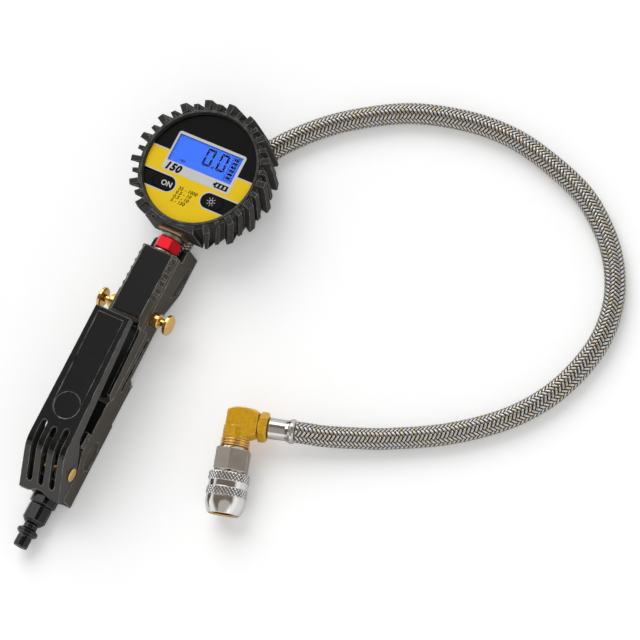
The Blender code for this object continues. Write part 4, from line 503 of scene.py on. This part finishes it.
# ---- chuck ------------------------------------------------------------------------------------
# A lock-on chuck: a plated hexagon body, a sleeve with two diamond-knurled rings that slides to
# lock, a brass jaw ring in its mouth, and a rubber seal round the depressor.
plated_hex = finish("plated_hex", (0.40, 0.355, 0.305), (0.58, 0.53, 0.47), 0.14, 1.0, grain=0.7, bump=0.06,
                    wear_and_highlight=(0.9, 0.9, 0.9), edge=0.4, patch=7.0, gloss_range=0.06)
dress(plated_hex, "chuck_body", "sleeve_spring")
mouth_brass = finish("mouth_brass", (0.72, 0.42, 0.08), (0.82, 0.52, 0.14), 0.2, 1.0, grain=0.5, bump=0.05,
                     edge=0.2, patch=5.0)
dress(mouth_brass, "jaw_ring", "valve_depressor")

SLEEVE_RADIUS = 11.2
SLEEVE_START = 27.6            # mm from the elbow's middle
NECK_RADIUS = 10.72
KNURL_COUNT = 34
KNURL_DEPTH = 0.46
KNURL_LEAN = 0.9               # along the ring for each step round it
KNURL_SHARPNESS = 3.6          # a higher number cuts a narrower groove
KNURL_ROWS = 25                # rings of points across each band
knurl_bands = ((SLEEVE_START + 0.6, SLEEVE_START + 4.5), (SLEEVE_START + 8.6, SLEEVE_START + 12.6))


def knurl(angle, z, radius):
    """Two families of V grooves that cross on the knurled rings."""
    if radius < SLEEVE_RADIUS - 0.2 or not any(low <= z <= high for low, high in knurl_bands):
        return 0.0
    rise = z / (math.tau * SLEEVE_RADIUS / KNURL_COUNT) * KNURL_LEAN
    depth = 0.0
    for way in (1, -1):
        share = (KNURL_COUNT * angle / math.tau + way * rise) % 1.0
        depth = max(depth, 1.0 - min(share, 1.0 - share) * KNURL_SHARPNESS)
    return -KNURL_DEPTH * max(0.0, depth)


sleeve_profile = [(10.6, SLEEVE_START)]
for low, high in knurl_bands:
    sleeve_profile += [(SLEEVE_RADIUS, low + (high - low) * i / (KNURL_ROWS - 1)) for i in range(KNURL_ROWS)]
    if low < SLEEVE_START + 5.0:
        sleeve_profile += [(NECK_RADIUS + 0.08, high + 0.3), (NECK_RADIUS, high + 0.5),
                           (NECK_RADIUS, SLEEVE_START + 8.1), (NECK_RADIUS + 0.08, SLEEVE_START + 8.3)]
sleeve_profile += [(11.02, 40.35), (10.75, 40.5), (10.75, 40.9), (10.98, 41.1), (10.98, 43.1), (10.85, 44.4),
                   (10.5, 45.8), (9.9, 47.6), (9.3, 49.0), (8.95, 49.75), (8.7, 49.98), (8.2, 49.98),
                   (8.0, 49.8), (8.0, 41.0), (9.9, 41.0), (9.9, 28.5), (8.9, 28.5), (8.9, SLEEVE_START)]
SLEEVE_AROUND = 8 * KNURL_COUNT
sleeve_mesh = turned_mesh("knurled_sleeve", sleeve_profile, chuck_frame, SLEEVE_AROUND, knurl)
cut_depths = [-knurl(math.tau * k / SLEEVE_AROUND, z, radius) / KNURL_DEPTH
              for radius, z in sleeve_profile for k in range(SLEEVE_AROUND)]
sleeve_mesh.attributes.new("hollow", "FLOAT", "POINT").data.foreach_set("value", cut_depths)
# The knurl's cut grooves are painted near black, partly as grime and partly as painted shade.
sleeve_plate = finish("knurled_plate", (0.72, 0.70, 0.68), (0.86, 0.85, 0.84), 0.16, 1.0, grain=0.8,
                      bump=0.05, edge=0.08, patch=7.0, gloss_range=0.06, hollow=(0.03, 0.027, 0.023))
sleeve = add_piece("knurled_sleeve", sleeve_mesh, sleeve_plate, "chuck_sleeve", 18.0)
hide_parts("chuck_sleeve")

seal_rubber = finish("seal_rubber", (0.016, 0.016, 0.016), (0.024, 0.023, 0.022), 0.6, 0.0, grain=0.4,
                     bump=0.2, edge=0.2)
seal_profile = [(6.2, 35.4), (6.2, 39.7), (5.9, 40.0), (3.3, 40.0), (2.8, 39.7), (2.6, 39.0), (2.6, 36.2),
                (2.9, 35.6), (3.3, 35.4)]
chuck_seal = add_piece("chuck_seal_ring", turned_mesh("chuck_seal_ring", seal_profile, chuck_frame, 40),
                       seal_rubber, "handle")
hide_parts("chuck_seal")


# ---- handle casting and front cover -----------------------------------------------------------
# Two die-cast halves in a fine-textured black coating, screwed together from the rear. The grip's
# edges are painted a little brighter, partly as scuffing and partly as a painted highlight.
# Painted light: its edges get a painted highlight as well as scuffing, and its side faces a painted
# brown-grey sheen for reflected studio light.
black_coating = finish("black_coating", (0.0028, 0.0028, 0.003), (0.006, 0.006, 0.0062), 0.42, 0.0,
                       grain=0.5, bump=0.8, wear_and_highlight=(0.66, 0.64, 0.60), edge=0.6, patch=5.0, shine=0.18,
                       slope=(0.070, 0.061, 0.047))
dress(black_coating, "main_body", "front_cover")
black_steel = finish("black_steel", (0.006, 0.006, 0.007), (0.012, 0.012, 0.013), 0.2, 0.6, grain=0.5,
                     bump=0.08, wear_and_highlight=(0.30, 0.30, 0.30), edge=0.3, patch=6.0)
dress(black_steel, "cover_screw_upper", "cover_screw_lower")


# ---- lever ------------------------------------------------------------------------------------
# A pressed lever with a matt black skin turns on a headed brass pin against a torsion spring. It
# pushes an oiled steel stem, whose rubber foot an upright coil holds against a brass seat.
# Painted light: the lever's edges get a painted highlight as well as scuffing, and its side faces a painted
# sheen.
lever_black = finish("lever_black", (0.0028, 0.0028, 0.003), (0.006, 0.006, 0.0062), 0.38, 0.0, grain=0.5,
                     bump=0.9, wear_and_highlight=(0.52, 0.52, 0.51), edge=0.5, patch=6.0, shine=0.20,
                     slope=(0.062, 0.060, 0.057))
dress(lever_black, "lever")
gold_brass = finish("polished_brass", (0.80, 0.46, 0.11), (0.90, 0.58, 0.20), 0.16, 1.0, grain=0.6,
                    bump=0.05, wear_and_highlight=(1.0, 0.85, 0.55), edge=0.3, patch=6.0, gloss_range=0.06)
dress(gold_brass, "lever_pin", "valve_seat")
oiled_steel = finish("oiled_steel", (0.05, 0.047, 0.042), (0.09, 0.085, 0.075), 0.35, 0.8, grain=0.5,
                     bump=0.1, wear_and_highlight=(0.35, 0.35, 0.35), edge=0.2)
dress(oiled_steel, "plunger", "plunger_bush")
spring_steel = finish("spring_steel", (0.10, 0.10, 0.10), (0.20, 0.20, 0.20), 0.3, 1.0, grain=0.6,
                      bump=0.05, edge=0.1)
dress(spring_steel, "lever_spring", "poppet_spring", "bleed_spring_left", "bleed_spring_right")

VALVE_COIL_RADIUS = 2.6
VALVE_COIL_TURNS = 3


def coil_mesh(name, centre, wire, low, high):
    """An upright coil of round wire, with its ends closed."""
    steps = 28 * VALVE_COIL_TURNS
    around = 10
    points = []
    for i in range(steps + 1):
        angle = math.tau * VALVE_COIL_TURNS * i / steps
        out = Vector((math.cos(angle), math.sin(angle), 0.0))
        middle = centre + out * VALVE_COIL_RADIUS + Vector((0.0, 0.0, low + (high - low) * i / steps))
        for k in range(around):
            way = math.tau * k / around
            off_axis = out * wire * math.cos(way) + Vector((0.0, 0.0, wire * math.sin(way)))
            points.append((middle + off_axis) * 0.001)
    return closed_mesh(name, points, ring_faces(steps + 1, around) + end_faces(steps + 1, around))


coil_low, coil_high = [corner * 1000.0 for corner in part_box("poppet_spring")]
coil_wire = (coil_high.x - coil_low.x) / 2 - VALVE_COIL_RADIUS
coil_middle = Vector(((coil_low.x + coil_high.x) / 2, (coil_low.y + coil_high.y) / 2, 0.0))
coil = coil_mesh("valve_coil", coil_middle, coil_wire, coil_low.z + coil_wire, coil_high.z - coil_wire)
valve_coil = add_piece("valve_coil", coil, spring_steel, "handle")
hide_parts("poppet_spring")
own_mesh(valve_coil)
dress(seal_rubber, "plunger_seal", "poppet", "spool_seal")


# ---- air inlet --------------------------------------------------------------------------------
# A hexagon adapter and a quarter-inch quick-connect plug in glossy black oxide, with a sintered
# bronze filter behind them.
gloss_black = finish("gloss_black", (0.004, 0.004, 0.0045), (0.008, 0.008, 0.009), 0.16, 0.3,
                     grain=0.9, bump=0.05, wear_and_highlight=(0.30, 0.30, 0.30), edge=0.4, patch=6.0,
                     gloss_range=0.06)
dress(gloss_black, "inlet_adapter", "inlet_plug")
bronze = finish("sintered_bronze", (0.35, 0.20, 0.08), (0.50, 0.30, 0.12), 0.5, 0.9, grain=0.25, bump=0.8,
                edge=0.1)
dress(bronze, "inlet_filter")


# ---- bleed valve ------------------------------------------------------------------------------
# Two polished brass barrels screwed into the casting guide a spool with a round button on each
# end. It slides across the handle when either button is pressed.
dress(gold_brass, "bleed_barrel_left", "bleed_barrel_right", "bleed_spool", "bleed_button_left",
      "bleed_button_right")


# ---- gauge stem and nut -----------------------------------------------------------------------
# The gauge's plated stem passes through a washer and a red anodised lock nut into a brass socket
# in the gauge's case.
red_anodised = finish("red_anodised", (0.50, 0.001, 0.008), (0.70, 0.003, 0.016), 0.24, 0.5, grain=0.5,
                      bump=0.05, wear_and_highlight=(1.0, 0.10, 0.12), edge=0.4, patch=6.0, shine=0.25)
dress(red_anodised, "gauge_nut")
dull_plate = finish("dull_plate", (0.50, 0.49, 0.46), (0.66, 0.65, 0.60), 0.3, 1.0, grain=0.5,
                    bump=0.1, edge=0.2)
dress(dull_plate, "nut_washer", "gauge_stem")
socket_brass = finish("socket_brass", (0.22, 0.14, 0.075), (0.36, 0.24, 0.13), 0.34, 0.8, grain=0.5,
                      bump=0.1, wear_and_highlight=(0.75, 0.6, 0.4), edge=0.4, patch=5.0)
dress(socket_brass, "gauge_socket")
stem_frame = Matrix.Translation((0.0, 0.0, 22.8)) @ Matrix.Rotation(math.radians(-90.0), 4, "X")
stem_thread = turned_mesh("stem_thread", thread_profile(5.42, 5.85, 9.15, 11.1, 0.6), stem_frame, 48)
add_piece("stem_thread", stem_thread, dull_plate, "handle")


# ---- gauge case and what it holds -------------------------------------------------------------
# A black moulded cup with a battery bay, the circuit board with its switches, the sensor, and two
# wrapped cells between plated contacts.
case_plastic = finish("case_plastic", (0.010, 0.010, 0.0105), (0.016, 0.016, 0.016), 0.5, 0.0, grain=0.5,
                      bump=0.5, wear_and_highlight=(0.10, 0.10, 0.10), edge=0.4, shine=0.35)
dress(case_plastic, "gauge_case", "battery_door")
board_green = finish("board_green", (0.01, 0.12, 0.04), (0.02, 0.18, 0.07), 0.4, 0.0, grain=0.8,
                     bump=0.1, edge=0.1)
dress(board_green, "circuit_board")
cell_wrap = finish("cell_wrap", (0.05, 0.05, 0.07), (0.08, 0.08, 0.10), 0.3, 0.1, grain=1.0, bump=0.05,
                   edge=0.2)
dress(cell_wrap, "battery_cell_upper", "battery_cell_lower")
dress(dull_plate, "pressure_sensor", "power_switch", "light_switch", "battery_contact_left",
      "battery_contact_right", "door_screw")


# ---- rubber boot ------------------------------------------------------------------------------
# A moulded rubber bumper round the gauge, shaped like an off-road tread: fifteen big lugs with
# small ones between them, low blocks on its front face, a lip round the label and a flat bib.
CASE_RADIUS = 33.1
GAUGE_Y = 50.0
BOOT_BACK = 13.2
BOOT_FRONT = 36.0
FACE_Z = 33.0
GROOVE_RADIUS = 35.7
LIP_RADIUS = 32.1
BIB_HALF = math.radians(23.0)
LUG_PITCH = math.radians(20.8)
LUG_LEAN = math.radians(10.0)
LUG_COUNT = 15

lug_steps = ((-0.142, "groove"), (-0.122, "big"), (-0.04, "big"), (0.04, "big"), (0.122, "big"),
             (0.142, "groove"), (0.27, "groove"), (0.395, "groove"), (0.412, "small"), (0.5, "small"),
             (0.588, "small"), (0.605, "groove"), (0.73, "groove"))


def boot_samples():
    """Angles round the boot from the bib's middle, and what the tread is there."""
    samples = [(BIB_HALF * k / 6, "bib") for k in range(-6, 7)]
    samples += [(BIB_HALF + math.radians(beside), "groove") for beside in (0.8, 4.0)]
    for lug in range(LUG_COUNT):
        middle = math.pi + LUG_PITCH * (lug - LUG_COUNT // 2)
        for share, kind in lug_steps:
            angle = middle + LUG_PITCH * share
            if angle < math.tau - BIB_HALF - LUG_PITCH / 4:
                samples.append((angle, kind))
    samples += [(math.tau - BIB_HALF - math.radians(beside), "groove") for beside in (4.0, 0.8)]
    return samples


def boot_section(angle, kind):
    """(radius, height) of the boot's skin from its back hole round to its inner wall."""
    reach = {"big": 40.15, "small": 38.4, "groove": GROOVE_RADIUS, "bib": 36.4 / math.cos(angle)}[kind]
    block_top = BOOT_FRONT - {"big": 0.1, "small": 0.4, "groove": 2.6, "bib": 0.7}[kind]
    slope = 0.45 if kind == "groove" else 0.8
    depths = [BOOT_BACK + 1.1 + (block_top - slope - BOOT_BACK - 1.1) * k / 6 for k in range(7)]
    section = [(27.7, BOOT_BACK), (33.4, BOOT_BACK), (reach - 1.0, BOOT_BACK + 0.1)]
    section += [(reach, z) for z in depths]
    section += [(reach - slope * 0.4, block_top - 0.05), (reach - slope, block_top), (34.8, block_top),
                (34.45, BOOT_FRONT - (2.5 if kind == "groove" else 1.2)),
                (34.1, BOOT_FRONT - 1.1), (33.9, BOOT_FRONT - 0.25), (33.6, BOOT_FRONT), (32.9, BOOT_FRONT),
                (32.5, BOOT_FRONT - 0.5), (LIP_RADIUS, FACE_Z + 0.3), (CASE_RADIUS + 0.25, FACE_Z + 0.3),
                (CASE_RADIUS + 0.25, 14.4), (27.7, 14.4)]
    return section


def boot_mesh():
    """The boot's skin, a closed section carried round the gauge, whose lugs lean back."""
    bm = bmesh.new()
    rings = []
    for angle, kind in boot_samples():
        beside = min(angle, math.tau - angle) - BIB_HALF
        lean = LUG_LEAN * min(1.0, max(0.0, beside / math.radians(12.0)))
        ring = []
        for r, z in boot_section(angle, kind):
            place = angle - math.pi / 2
            if r > GROOVE_RADIUS - 0.6:
                place -= lean * (BOOT_FRONT - z) / (BOOT_FRONT - BOOT_BACK)
            ring.append(bm.verts.new(at(r * math.cos(place), GAUGE_Y + r * math.sin(place), z)))
        rings.append(ring)
    for a, b in zip(rings, rings[1:] + rings[:1]):
        for i in range(len(a)):
            j = (i + 1) % len(a)
            bm.faces.new((a[i], a[j], b[j], b[i]))
    bmesh.ops.recalc_face_normals(bm, faces=bm.faces)
    mesh = bpy.data.meshes.new("tread_boot")
    bm.to_mesh(mesh)
    bm.free()
    return mesh


def box_mesh(low, high):
    """A box in millimetres, for cutting."""
    bm = bmesh.new()
    bmesh.ops.create_cube(bm, size=1.0)
    for vert in bm.verts:
        vert.co = at(*[low[i] + (high[i] - low[i]) * (vert.co[i] + 0.5) for i in range(3)])
    mesh = bpy.data.meshes.new("cutter")
    bm.to_mesh(mesh)
    bm.free()
    return mesh


def shaped(name, mesh, bevel=0.0, cutters=()):
    """The mesh with its edges rounded and the cutters taken out of it, with nothing left live."""
    work = bpy.data.objects.new(name, mesh)
    bpy.context.collection.objects.link(work)
    if bevel:
        rounding = work.modifiers.new("rounding", "BEVEL")
        rounding.width = bevel * 0.001
        rounding.segments = 2
        rounding.limit_method = "ANGLE"
        rounding.angle_limit = math.radians(32.0)
    tools = []
    for cutter in cutters:
        tool = bpy.data.objects.new("cutter", cutter)
        bpy.context.collection.objects.link(tool)
        opening = work.modifiers.new("opening", "BOOLEAN")
        opening.object = tool
        opening.solver = "EXACT"
        tools.append(tool)
    graph = bpy.context.evaluated_depsgraph_get()
    result = bpy.data.meshes.new_from_object(work.evaluated_get(graph))
    result.name = name
    for tool in tools + [work]:
        bpy.data.objects.remove(tool, do_unlink=True)
    return result


# Painted light: the boot's edges and lip get a painted highlight as well as scuffing, and its side faces a
# painted sheen.
boot_rubber = finish("boot_rubber", (0.010, 0.010, 0.010), (0.032, 0.032, 0.031), 0.58, 0.0,
                     grain=0.45, bump=0.8, wear_and_highlight=(0.55, 0.55, 0.53), edge=0.5, patch=4.0, shine=0.25,
                     slope=(0.030, 0.028, 0.024))
socket_hole = box_mesh((-7.35, 5.0, 15.45), (7.35, 21.0, 30.15))
bib_slot = box_mesh((-11.6, 13.9, 33.9), (-9.4, 15.4, 40.0))
boot = shaped("tread_boot", boot_mesh(), 0.3, (socket_hole, bib_slot))
boot_piece = add_piece("tread_boot", boot, boot_rubber, "handle", 40.0)
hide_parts("gauge_boot")


# ---- label ------------------------------------------------------------------------------------
# A printed polycarbonate film on the gauge's front plate: yellow with a black top, silver rules
# and frame, two black key fields and plain numerals.
LABEL_RADIUS = 32.08
INK = 0.04                     # mm that one layer of ink stands up
KEY_U = 15.7                   # the keys' middle, to either side of the gauge's middle
KEY_V = -14.9
RULE_V = 3.4                   # where the black field ends at each side
WINDOW_U = 20.6                # the display opening's half width in the print
WINDOW_LOW = -2.0
WINDOW_TOP = 14.9
FRAME_U = 21.4                 # the silver frame's half width, where the rules start


def printed(name, curve, u, v, height, thickness, material, body):
    """A piece of print from a flat curve, whose origin goes to (u, v) from the gauge's centre."""
    curve.extrude = thickness * 0.0005
    work = bpy.data.objects.new(name, curve)
    bpy.context.collection.objects.link(work)
    graph = bpy.context.evaluated_depsgraph_get()
    mesh = bpy.data.meshes.new_from_object(work.evaluated_get(graph))
    bpy.data.objects.remove(work, do_unlink=True)
    mesh.materials.clear()
    mesh.transform(Matrix.Translation(at(u, GAUGE_Y + v, height + thickness / 2)))
    return add_piece(name, mesh, material, body, 30.0)


def print_layer(name, loops, height, thickness, material, body="handle"):
    """A flat layer in the shape of closed outlines, measured from the gauge's centre in mm."""
    curve = bpy.data.curves.new(name, "CURVE")
    curve.dimensions = "2D"
    curve.fill_mode = "BOTH"
    for outline in loops:
        line = curve.splines.new("POLY")
        line.points.add(len(outline) - 1)
        for point, (u, v) in zip(line.points, outline):
            point.co = (u * 0.001, v * 0.001, 0.0, 1.0)
        line.use_cyclic_u = True
    return printed(name, curve, 0.0, 0.0, height, thickness, material, body)


def words(name, text, size, u, v, height, material, shear=0.0, bold=0.0, spread=1.0, body="handle"):
    """A line of plain characters in ink, set from its lower left corner."""
    curve = bpy.data.curves.new(name, "FONT")
    curve.body = text
    curve.size = size * 0.001
    curve.shear = shear
    curve.space_character = spread
    curve.offset = bold * 0.001
    curve.resolution_u = 3
    return printed(name, curve, u, v, height, INK, material, body)


def arc(radius, start, end, steps, centre=(0.0, 0.0)):
    """Points along a round stretch, with its ends in degrees."""
    points = []
    for k in range(steps + 1):
        angle = math.radians(start + (end - start) * k / steps)
        points.append((centre[0] + radius * math.cos(angle), centre[1] + radius * math.sin(angle)))
    return points


def square_box(left, low, right_side, top):
    """A rectangle with sharp corners."""
    return [(left, low), (right_side, low), (right_side, top), (left, top)]


def rounded_box(left, low, right_side, top, radius):
    """A rectangle with round corners."""
    outline = []
    corners = ((right_side - radius, top - radius, 0), (left + radius, top - radius, 90),
               (left + radius, low + radius, 180), (right_side - radius, low + radius, 270))
    for u, v, start in corners:
        outline += arc(radius, start, start + 90, 5, (u, v))
    return outline


def slot_outline(half_length, half_height, u, v):
    """A slot with round ends, round its middle."""
    return (arc(half_height, -90, 90, 12, (u + half_length - half_height, v))
            + arc(half_height, 90, 270, 12, (u - half_length + half_height, v)))


def key_field(side, half_height, end):
    """From the label's rim to a round end beside the middle."""
    outline = arc(half_height, -90, 90, 12, (end - half_height, KEY_V))
    for k in range(9):
        step = KEY_V + half_height - 2 * half_height * k / 8
        outline.append((-math.sqrt(LABEL_RADIUS ** 2 - step ** 2), step))
    return [(-side * u, w) for u, w in outline]


yellow_print = finish("yellow_print", (0.80, 0.53, 0.001), (0.90, 0.62, 0.002), 0.40, 0.0, grain=0.5,
                      bump=0.2, edge=0.15, patch=10.0, shine=0.12)
black_print = finish("black_print", (0.0022, 0.0022, 0.0024), (0.0045, 0.0045, 0.0045), 0.36, 0.0,
                     grain=0.5, bump=0.2, edge=0.1, patch=10.0, shine=0.06)
silver_print = finish("silver_print", (0.48, 0.48, 0.48), (0.58, 0.58, 0.58), 0.36, 0.1, grain=0.5,
                      bump=0.1, edge=0.1, patch=8.0, shine=0.3)
dress(black_print, "gauge_front")
rim_angle = math.degrees(math.asin(RULE_V / LABEL_RADIUS))
black_field = [(-WINDOW_U, RULE_V), (-WINDOW_U, WINDOW_TOP), (WINDOW_U, WINDOW_TOP), (WINDOW_U, RULE_V)]
black_field += arc(LABEL_RADIUS, rim_angle, 180.0 - rim_angle, 60)
print_layer("label_black_field", [black_field], FACE_Z, INK, black_print)
key_holes = [slot_outline(6.68, 3.88, KEY_U * side, KEY_V) for side in (-1, 1)]
yellow_field = [(WINDOW_U, RULE_V), (WINDOW_U, WINDOW_LOW), (-WINDOW_U, WINDOW_LOW), (-WINDOW_U, RULE_V)]
yellow_field += arc(LABEL_RADIUS - 0.1, 180.0 - rim_angle, 360.0 + rim_angle, 90)
print_layer("label_yellow_field", [yellow_field] + key_holes, FACE_Z, INK, yellow_print)
silver_frame = [rounded_box(-FRAME_U, -7.8, 21.9, 16.1, 1.6), square_box(-20.2, -1.9, 20.2, 14.5)]
print_layer("label_frame", silver_frame, FACE_Z, INK * 2.5, silver_print)
for side, name, key_hole in ((-1, "left", key_holes[0]), (1, "right", key_holes[1])):
    inner = FRAME_U * side
    outer = side * math.sqrt(LABEL_RADIUS ** 2 - RULE_V ** 2)
    rule = square_box(inner, RULE_V - 0.35, outer, RULE_V + 0.35)
    print_layer(f"label_rule_{name}", [rule], FACE_Z, INK * 2, silver_print)
    print_layer(f"label_key_border_{name}", [key_field(side, 5.2, -7.9), key_field(side, 4.5, -8.55)],
                FACE_Z, INK * 2, silver_print)
    print_layer(f"label_key_field_{name}", [key_field(side, 4.5, -8.55), key_hole], FACE_Z, INK * 1.5,
                black_print)
words("label_numeral", "150", 5.9, -19.8, -6.95, FACE_Z + INK * 2.5, black_print, shear=0.22, bold=0.36,
      spread=1.14)
for row, text in enumerate(("35 - 1000", "0.5 - 10", "0.5 - 10", "5 - 150")):
    words(f"label_range_{row + 1}", text, 2.8, -6.2 - 0.3 * row, -15.4 - 2.6 * row, FACE_Z, black_print,
          shear=0.2, bold=0.08, spread=1.10)
battery_mark = [[(12.0, -6.6), (20.2, -6.6), (20.2, -3.4), (12.0, -3.4), (12.0, -4.3), (11.1, -4.3),
                 (11.1, -5.7), (12.0, -5.7)]]
for k in range(3):
    left = 12.9 + 2.4 * k
    battery_mark.append([(left, -5.9), (left + 1.0, -5.9), (left + 1.3, -4.1), (left + 0.3, -4.1)])
print_layer("label_battery_mark", battery_mark, FACE_Z + INK * 2.5, INK, black_print)


# ---- keys -------------------------------------------------------------------------------------
# Two rubber-backed film keys, flush with the label: one for power and one for the light. Their
# marks are printed in silver.
key_film = finish("key_film", (0.0022, 0.0022, 0.0024), (0.0045, 0.0045, 0.0047), 0.36, 0.0, grain=0.5,
                  bump=0.2, edge=0.25, patch=10.0, shine=0.06)
dress(key_film, "power_key", "light_key")
KEY_TOP = FACE_Z + 0.2
words("power_key_mark", "ON", 4.3, -17.0, -16.4, KEY_TOP, silver_print, bold=0.10, body="power_key")
middle = Vector((15.0, KEY_V))
lamp_mark = [arc(radius, 0, 360, 24, middle)[:-1] for radius in (1.15, 0.8)]
for k in range(8):
    ray = math.tau * k / 8
    across = Vector((-math.sin(ray), math.cos(ray))) * 0.16
    out = Vector((math.cos(ray), math.sin(ray)))
    ends = (middle + out * 1.6 - across, middle + out * 2.6 - across, middle + out * 2.6 + across,
            middle + out * 1.6 + across)
    lamp_mark.append([tuple(p) for p in ends])
print_layer("light_key_mark", lamp_mark, KEY_TOP, INK, silver_print, "light_key")


# ---- display ----------------------------------------------------------------------------------
# A backlit blue liquid-crystal panel behind a clear window. It reads 0.0 in seven-segment digits,
# with a bar scale at its right.
def lit_panel():
    """A blue panel with a soft, slightly uneven glow."""
    material, tree, shader = new_material("backlit_blue")
    place = node(tree, "ShaderNodeTexCoord")
    cloud = node(tree, "ShaderNodeTexNoise", Scale=60.0, Detail=2.0)
    tree.links.new(place.outputs["Object"], cloud.inputs["Vector"])
    tone = node(tree, "ShaderNodeMixRGB", Color1=(0.030, 0.150, 0.98, 1.0), Color2=(0.042, 0.185, 1.0, 1.0))
    tree.links.new(cloud.outputs["Fac"], tone.inputs["Fac"])
    tree.links.new(tone.outputs["Color"], shader.inputs["Emission Color"])
    shader.inputs["Base Color"].default_value = (0.002, 0.006, 0.03, 1.0)
    shader.inputs["Emission Strength"].default_value = 1.0
    shader.inputs["Roughness"].default_value = 0.5
    shader.inputs["Specular IOR Level"].default_value = 0.05
    return material


def clear_window():
    """Clear plastic with a very faint haze."""
    material, tree, shader = new_material("clear_window")
    place = node(tree, "ShaderNodeTexCoord")
    haze = node(tree, "ShaderNodeTexNoise", Scale=120.0, Detail=2.0)
    gloss = node(tree, "ShaderNodeMapRange")
    gloss.inputs["To Min"].default_value = 0.0
    gloss.inputs["To Max"].default_value = 0.004
    tree.links.new(place.outputs["Object"], haze.inputs["Vector"])
    tree.links.new(haze.outputs["Fac"], gloss.inputs["Value"])
    tree.links.new(gloss.outputs["Result"], shader.inputs["Roughness"])
    shader.inputs["Base Color"].default_value = (0.97, 0.98, 1.0, 1.0)
    shader.inputs["Transmission Weight"].default_value = 1.0
    shader.inputs["IOR"].default_value = 1.15
    return material


dress(lit_panel(), "lcd_panel")
dress(clear_window(), "display_lens")
diffuser = finish("diffuser_white", (0.70, 0.70, 0.72), (0.78, 0.78, 0.78), 0.5, 0.0, grain=0.6,
                  bump=0.1, edge=0.1)
dress(diffuser, "backlight")
segment_ink = finish("segment_ink", (0.002, 0.003, 0.02), (0.003, 0.005, 0.03), 0.5, 0.0, grain=0.6,
                     bump=0.05, edge=0.1, shine=0.05)
LCD_TOP = 31.2


def placed(points, u, v):
    """The outline moved to start at (u, v)."""
    return [(u + a, v + b) for a, b in points]


def digit_zero(name, u, v, wide, tall, bar):
    """Six segments of a nought, with small gaps between their mitred ends."""
    gap = 0.16
    half = tall / 2
    upright = [(0.0, gap), (bar, bar + gap), (bar, half - gap - bar / 2), (bar / 2, half - gap),
               (0.0, half - gap - bar / 2)]
    level = [(gap, 0.0), (wide - gap, 0.0), (wide - bar - gap, bar), (bar + gap, bar)]
    segments = []
    for part in (upright, [(wide - a, b) for a, b in upright], level):
        segments += [part, [(a, tall - b) for a, b in part]]
    print_layer(name, [placed(s, u, v) for s in segments], LCD_TOP, INK, segment_ink)


DIGIT_WIDE = 5.3
DIGIT_TALL = 10.3
DIGIT_BAR = 1.25
DIGIT_FOOT = 3.0
for name, left in (("ones", -1.65), ("tenths", 7.0)):
    digit_zero(f"display_digit_{name}", left, DIGIT_FOOT, DIGIT_WIDE, DIGIT_TALL, DIGIT_BAR)
point = square_box(4.7, DIGIT_FOOT, 5.9, DIGIT_FOOT + 1.2)
print_layer("display_point", [point], LCD_TOP, INK, segment_ink)
bars = [square_box(14.1, -0.2, 18.8, 13.8), square_box(14.35, 0.05, 18.55, 13.55)]
for k in range(6):
    low = 0.75 + 2.2 * k
    bars.append(square_box(15.0, low, 17.9, low + 1.45))
print_layer("display_bars", bars, LCD_TOP, INK, segment_ink)
slanted = [(0.0, 0.2), (0.8, 0.2), (1.0, 1.4), (0.2, 1.4)]
unit_mark = [placed(slanted, -14.2 + 1.3 * k, 0.0) for k in range(3)]
print_layer("display_unit_mark", unit_mark, LCD_TOP, INK, segment_ink)
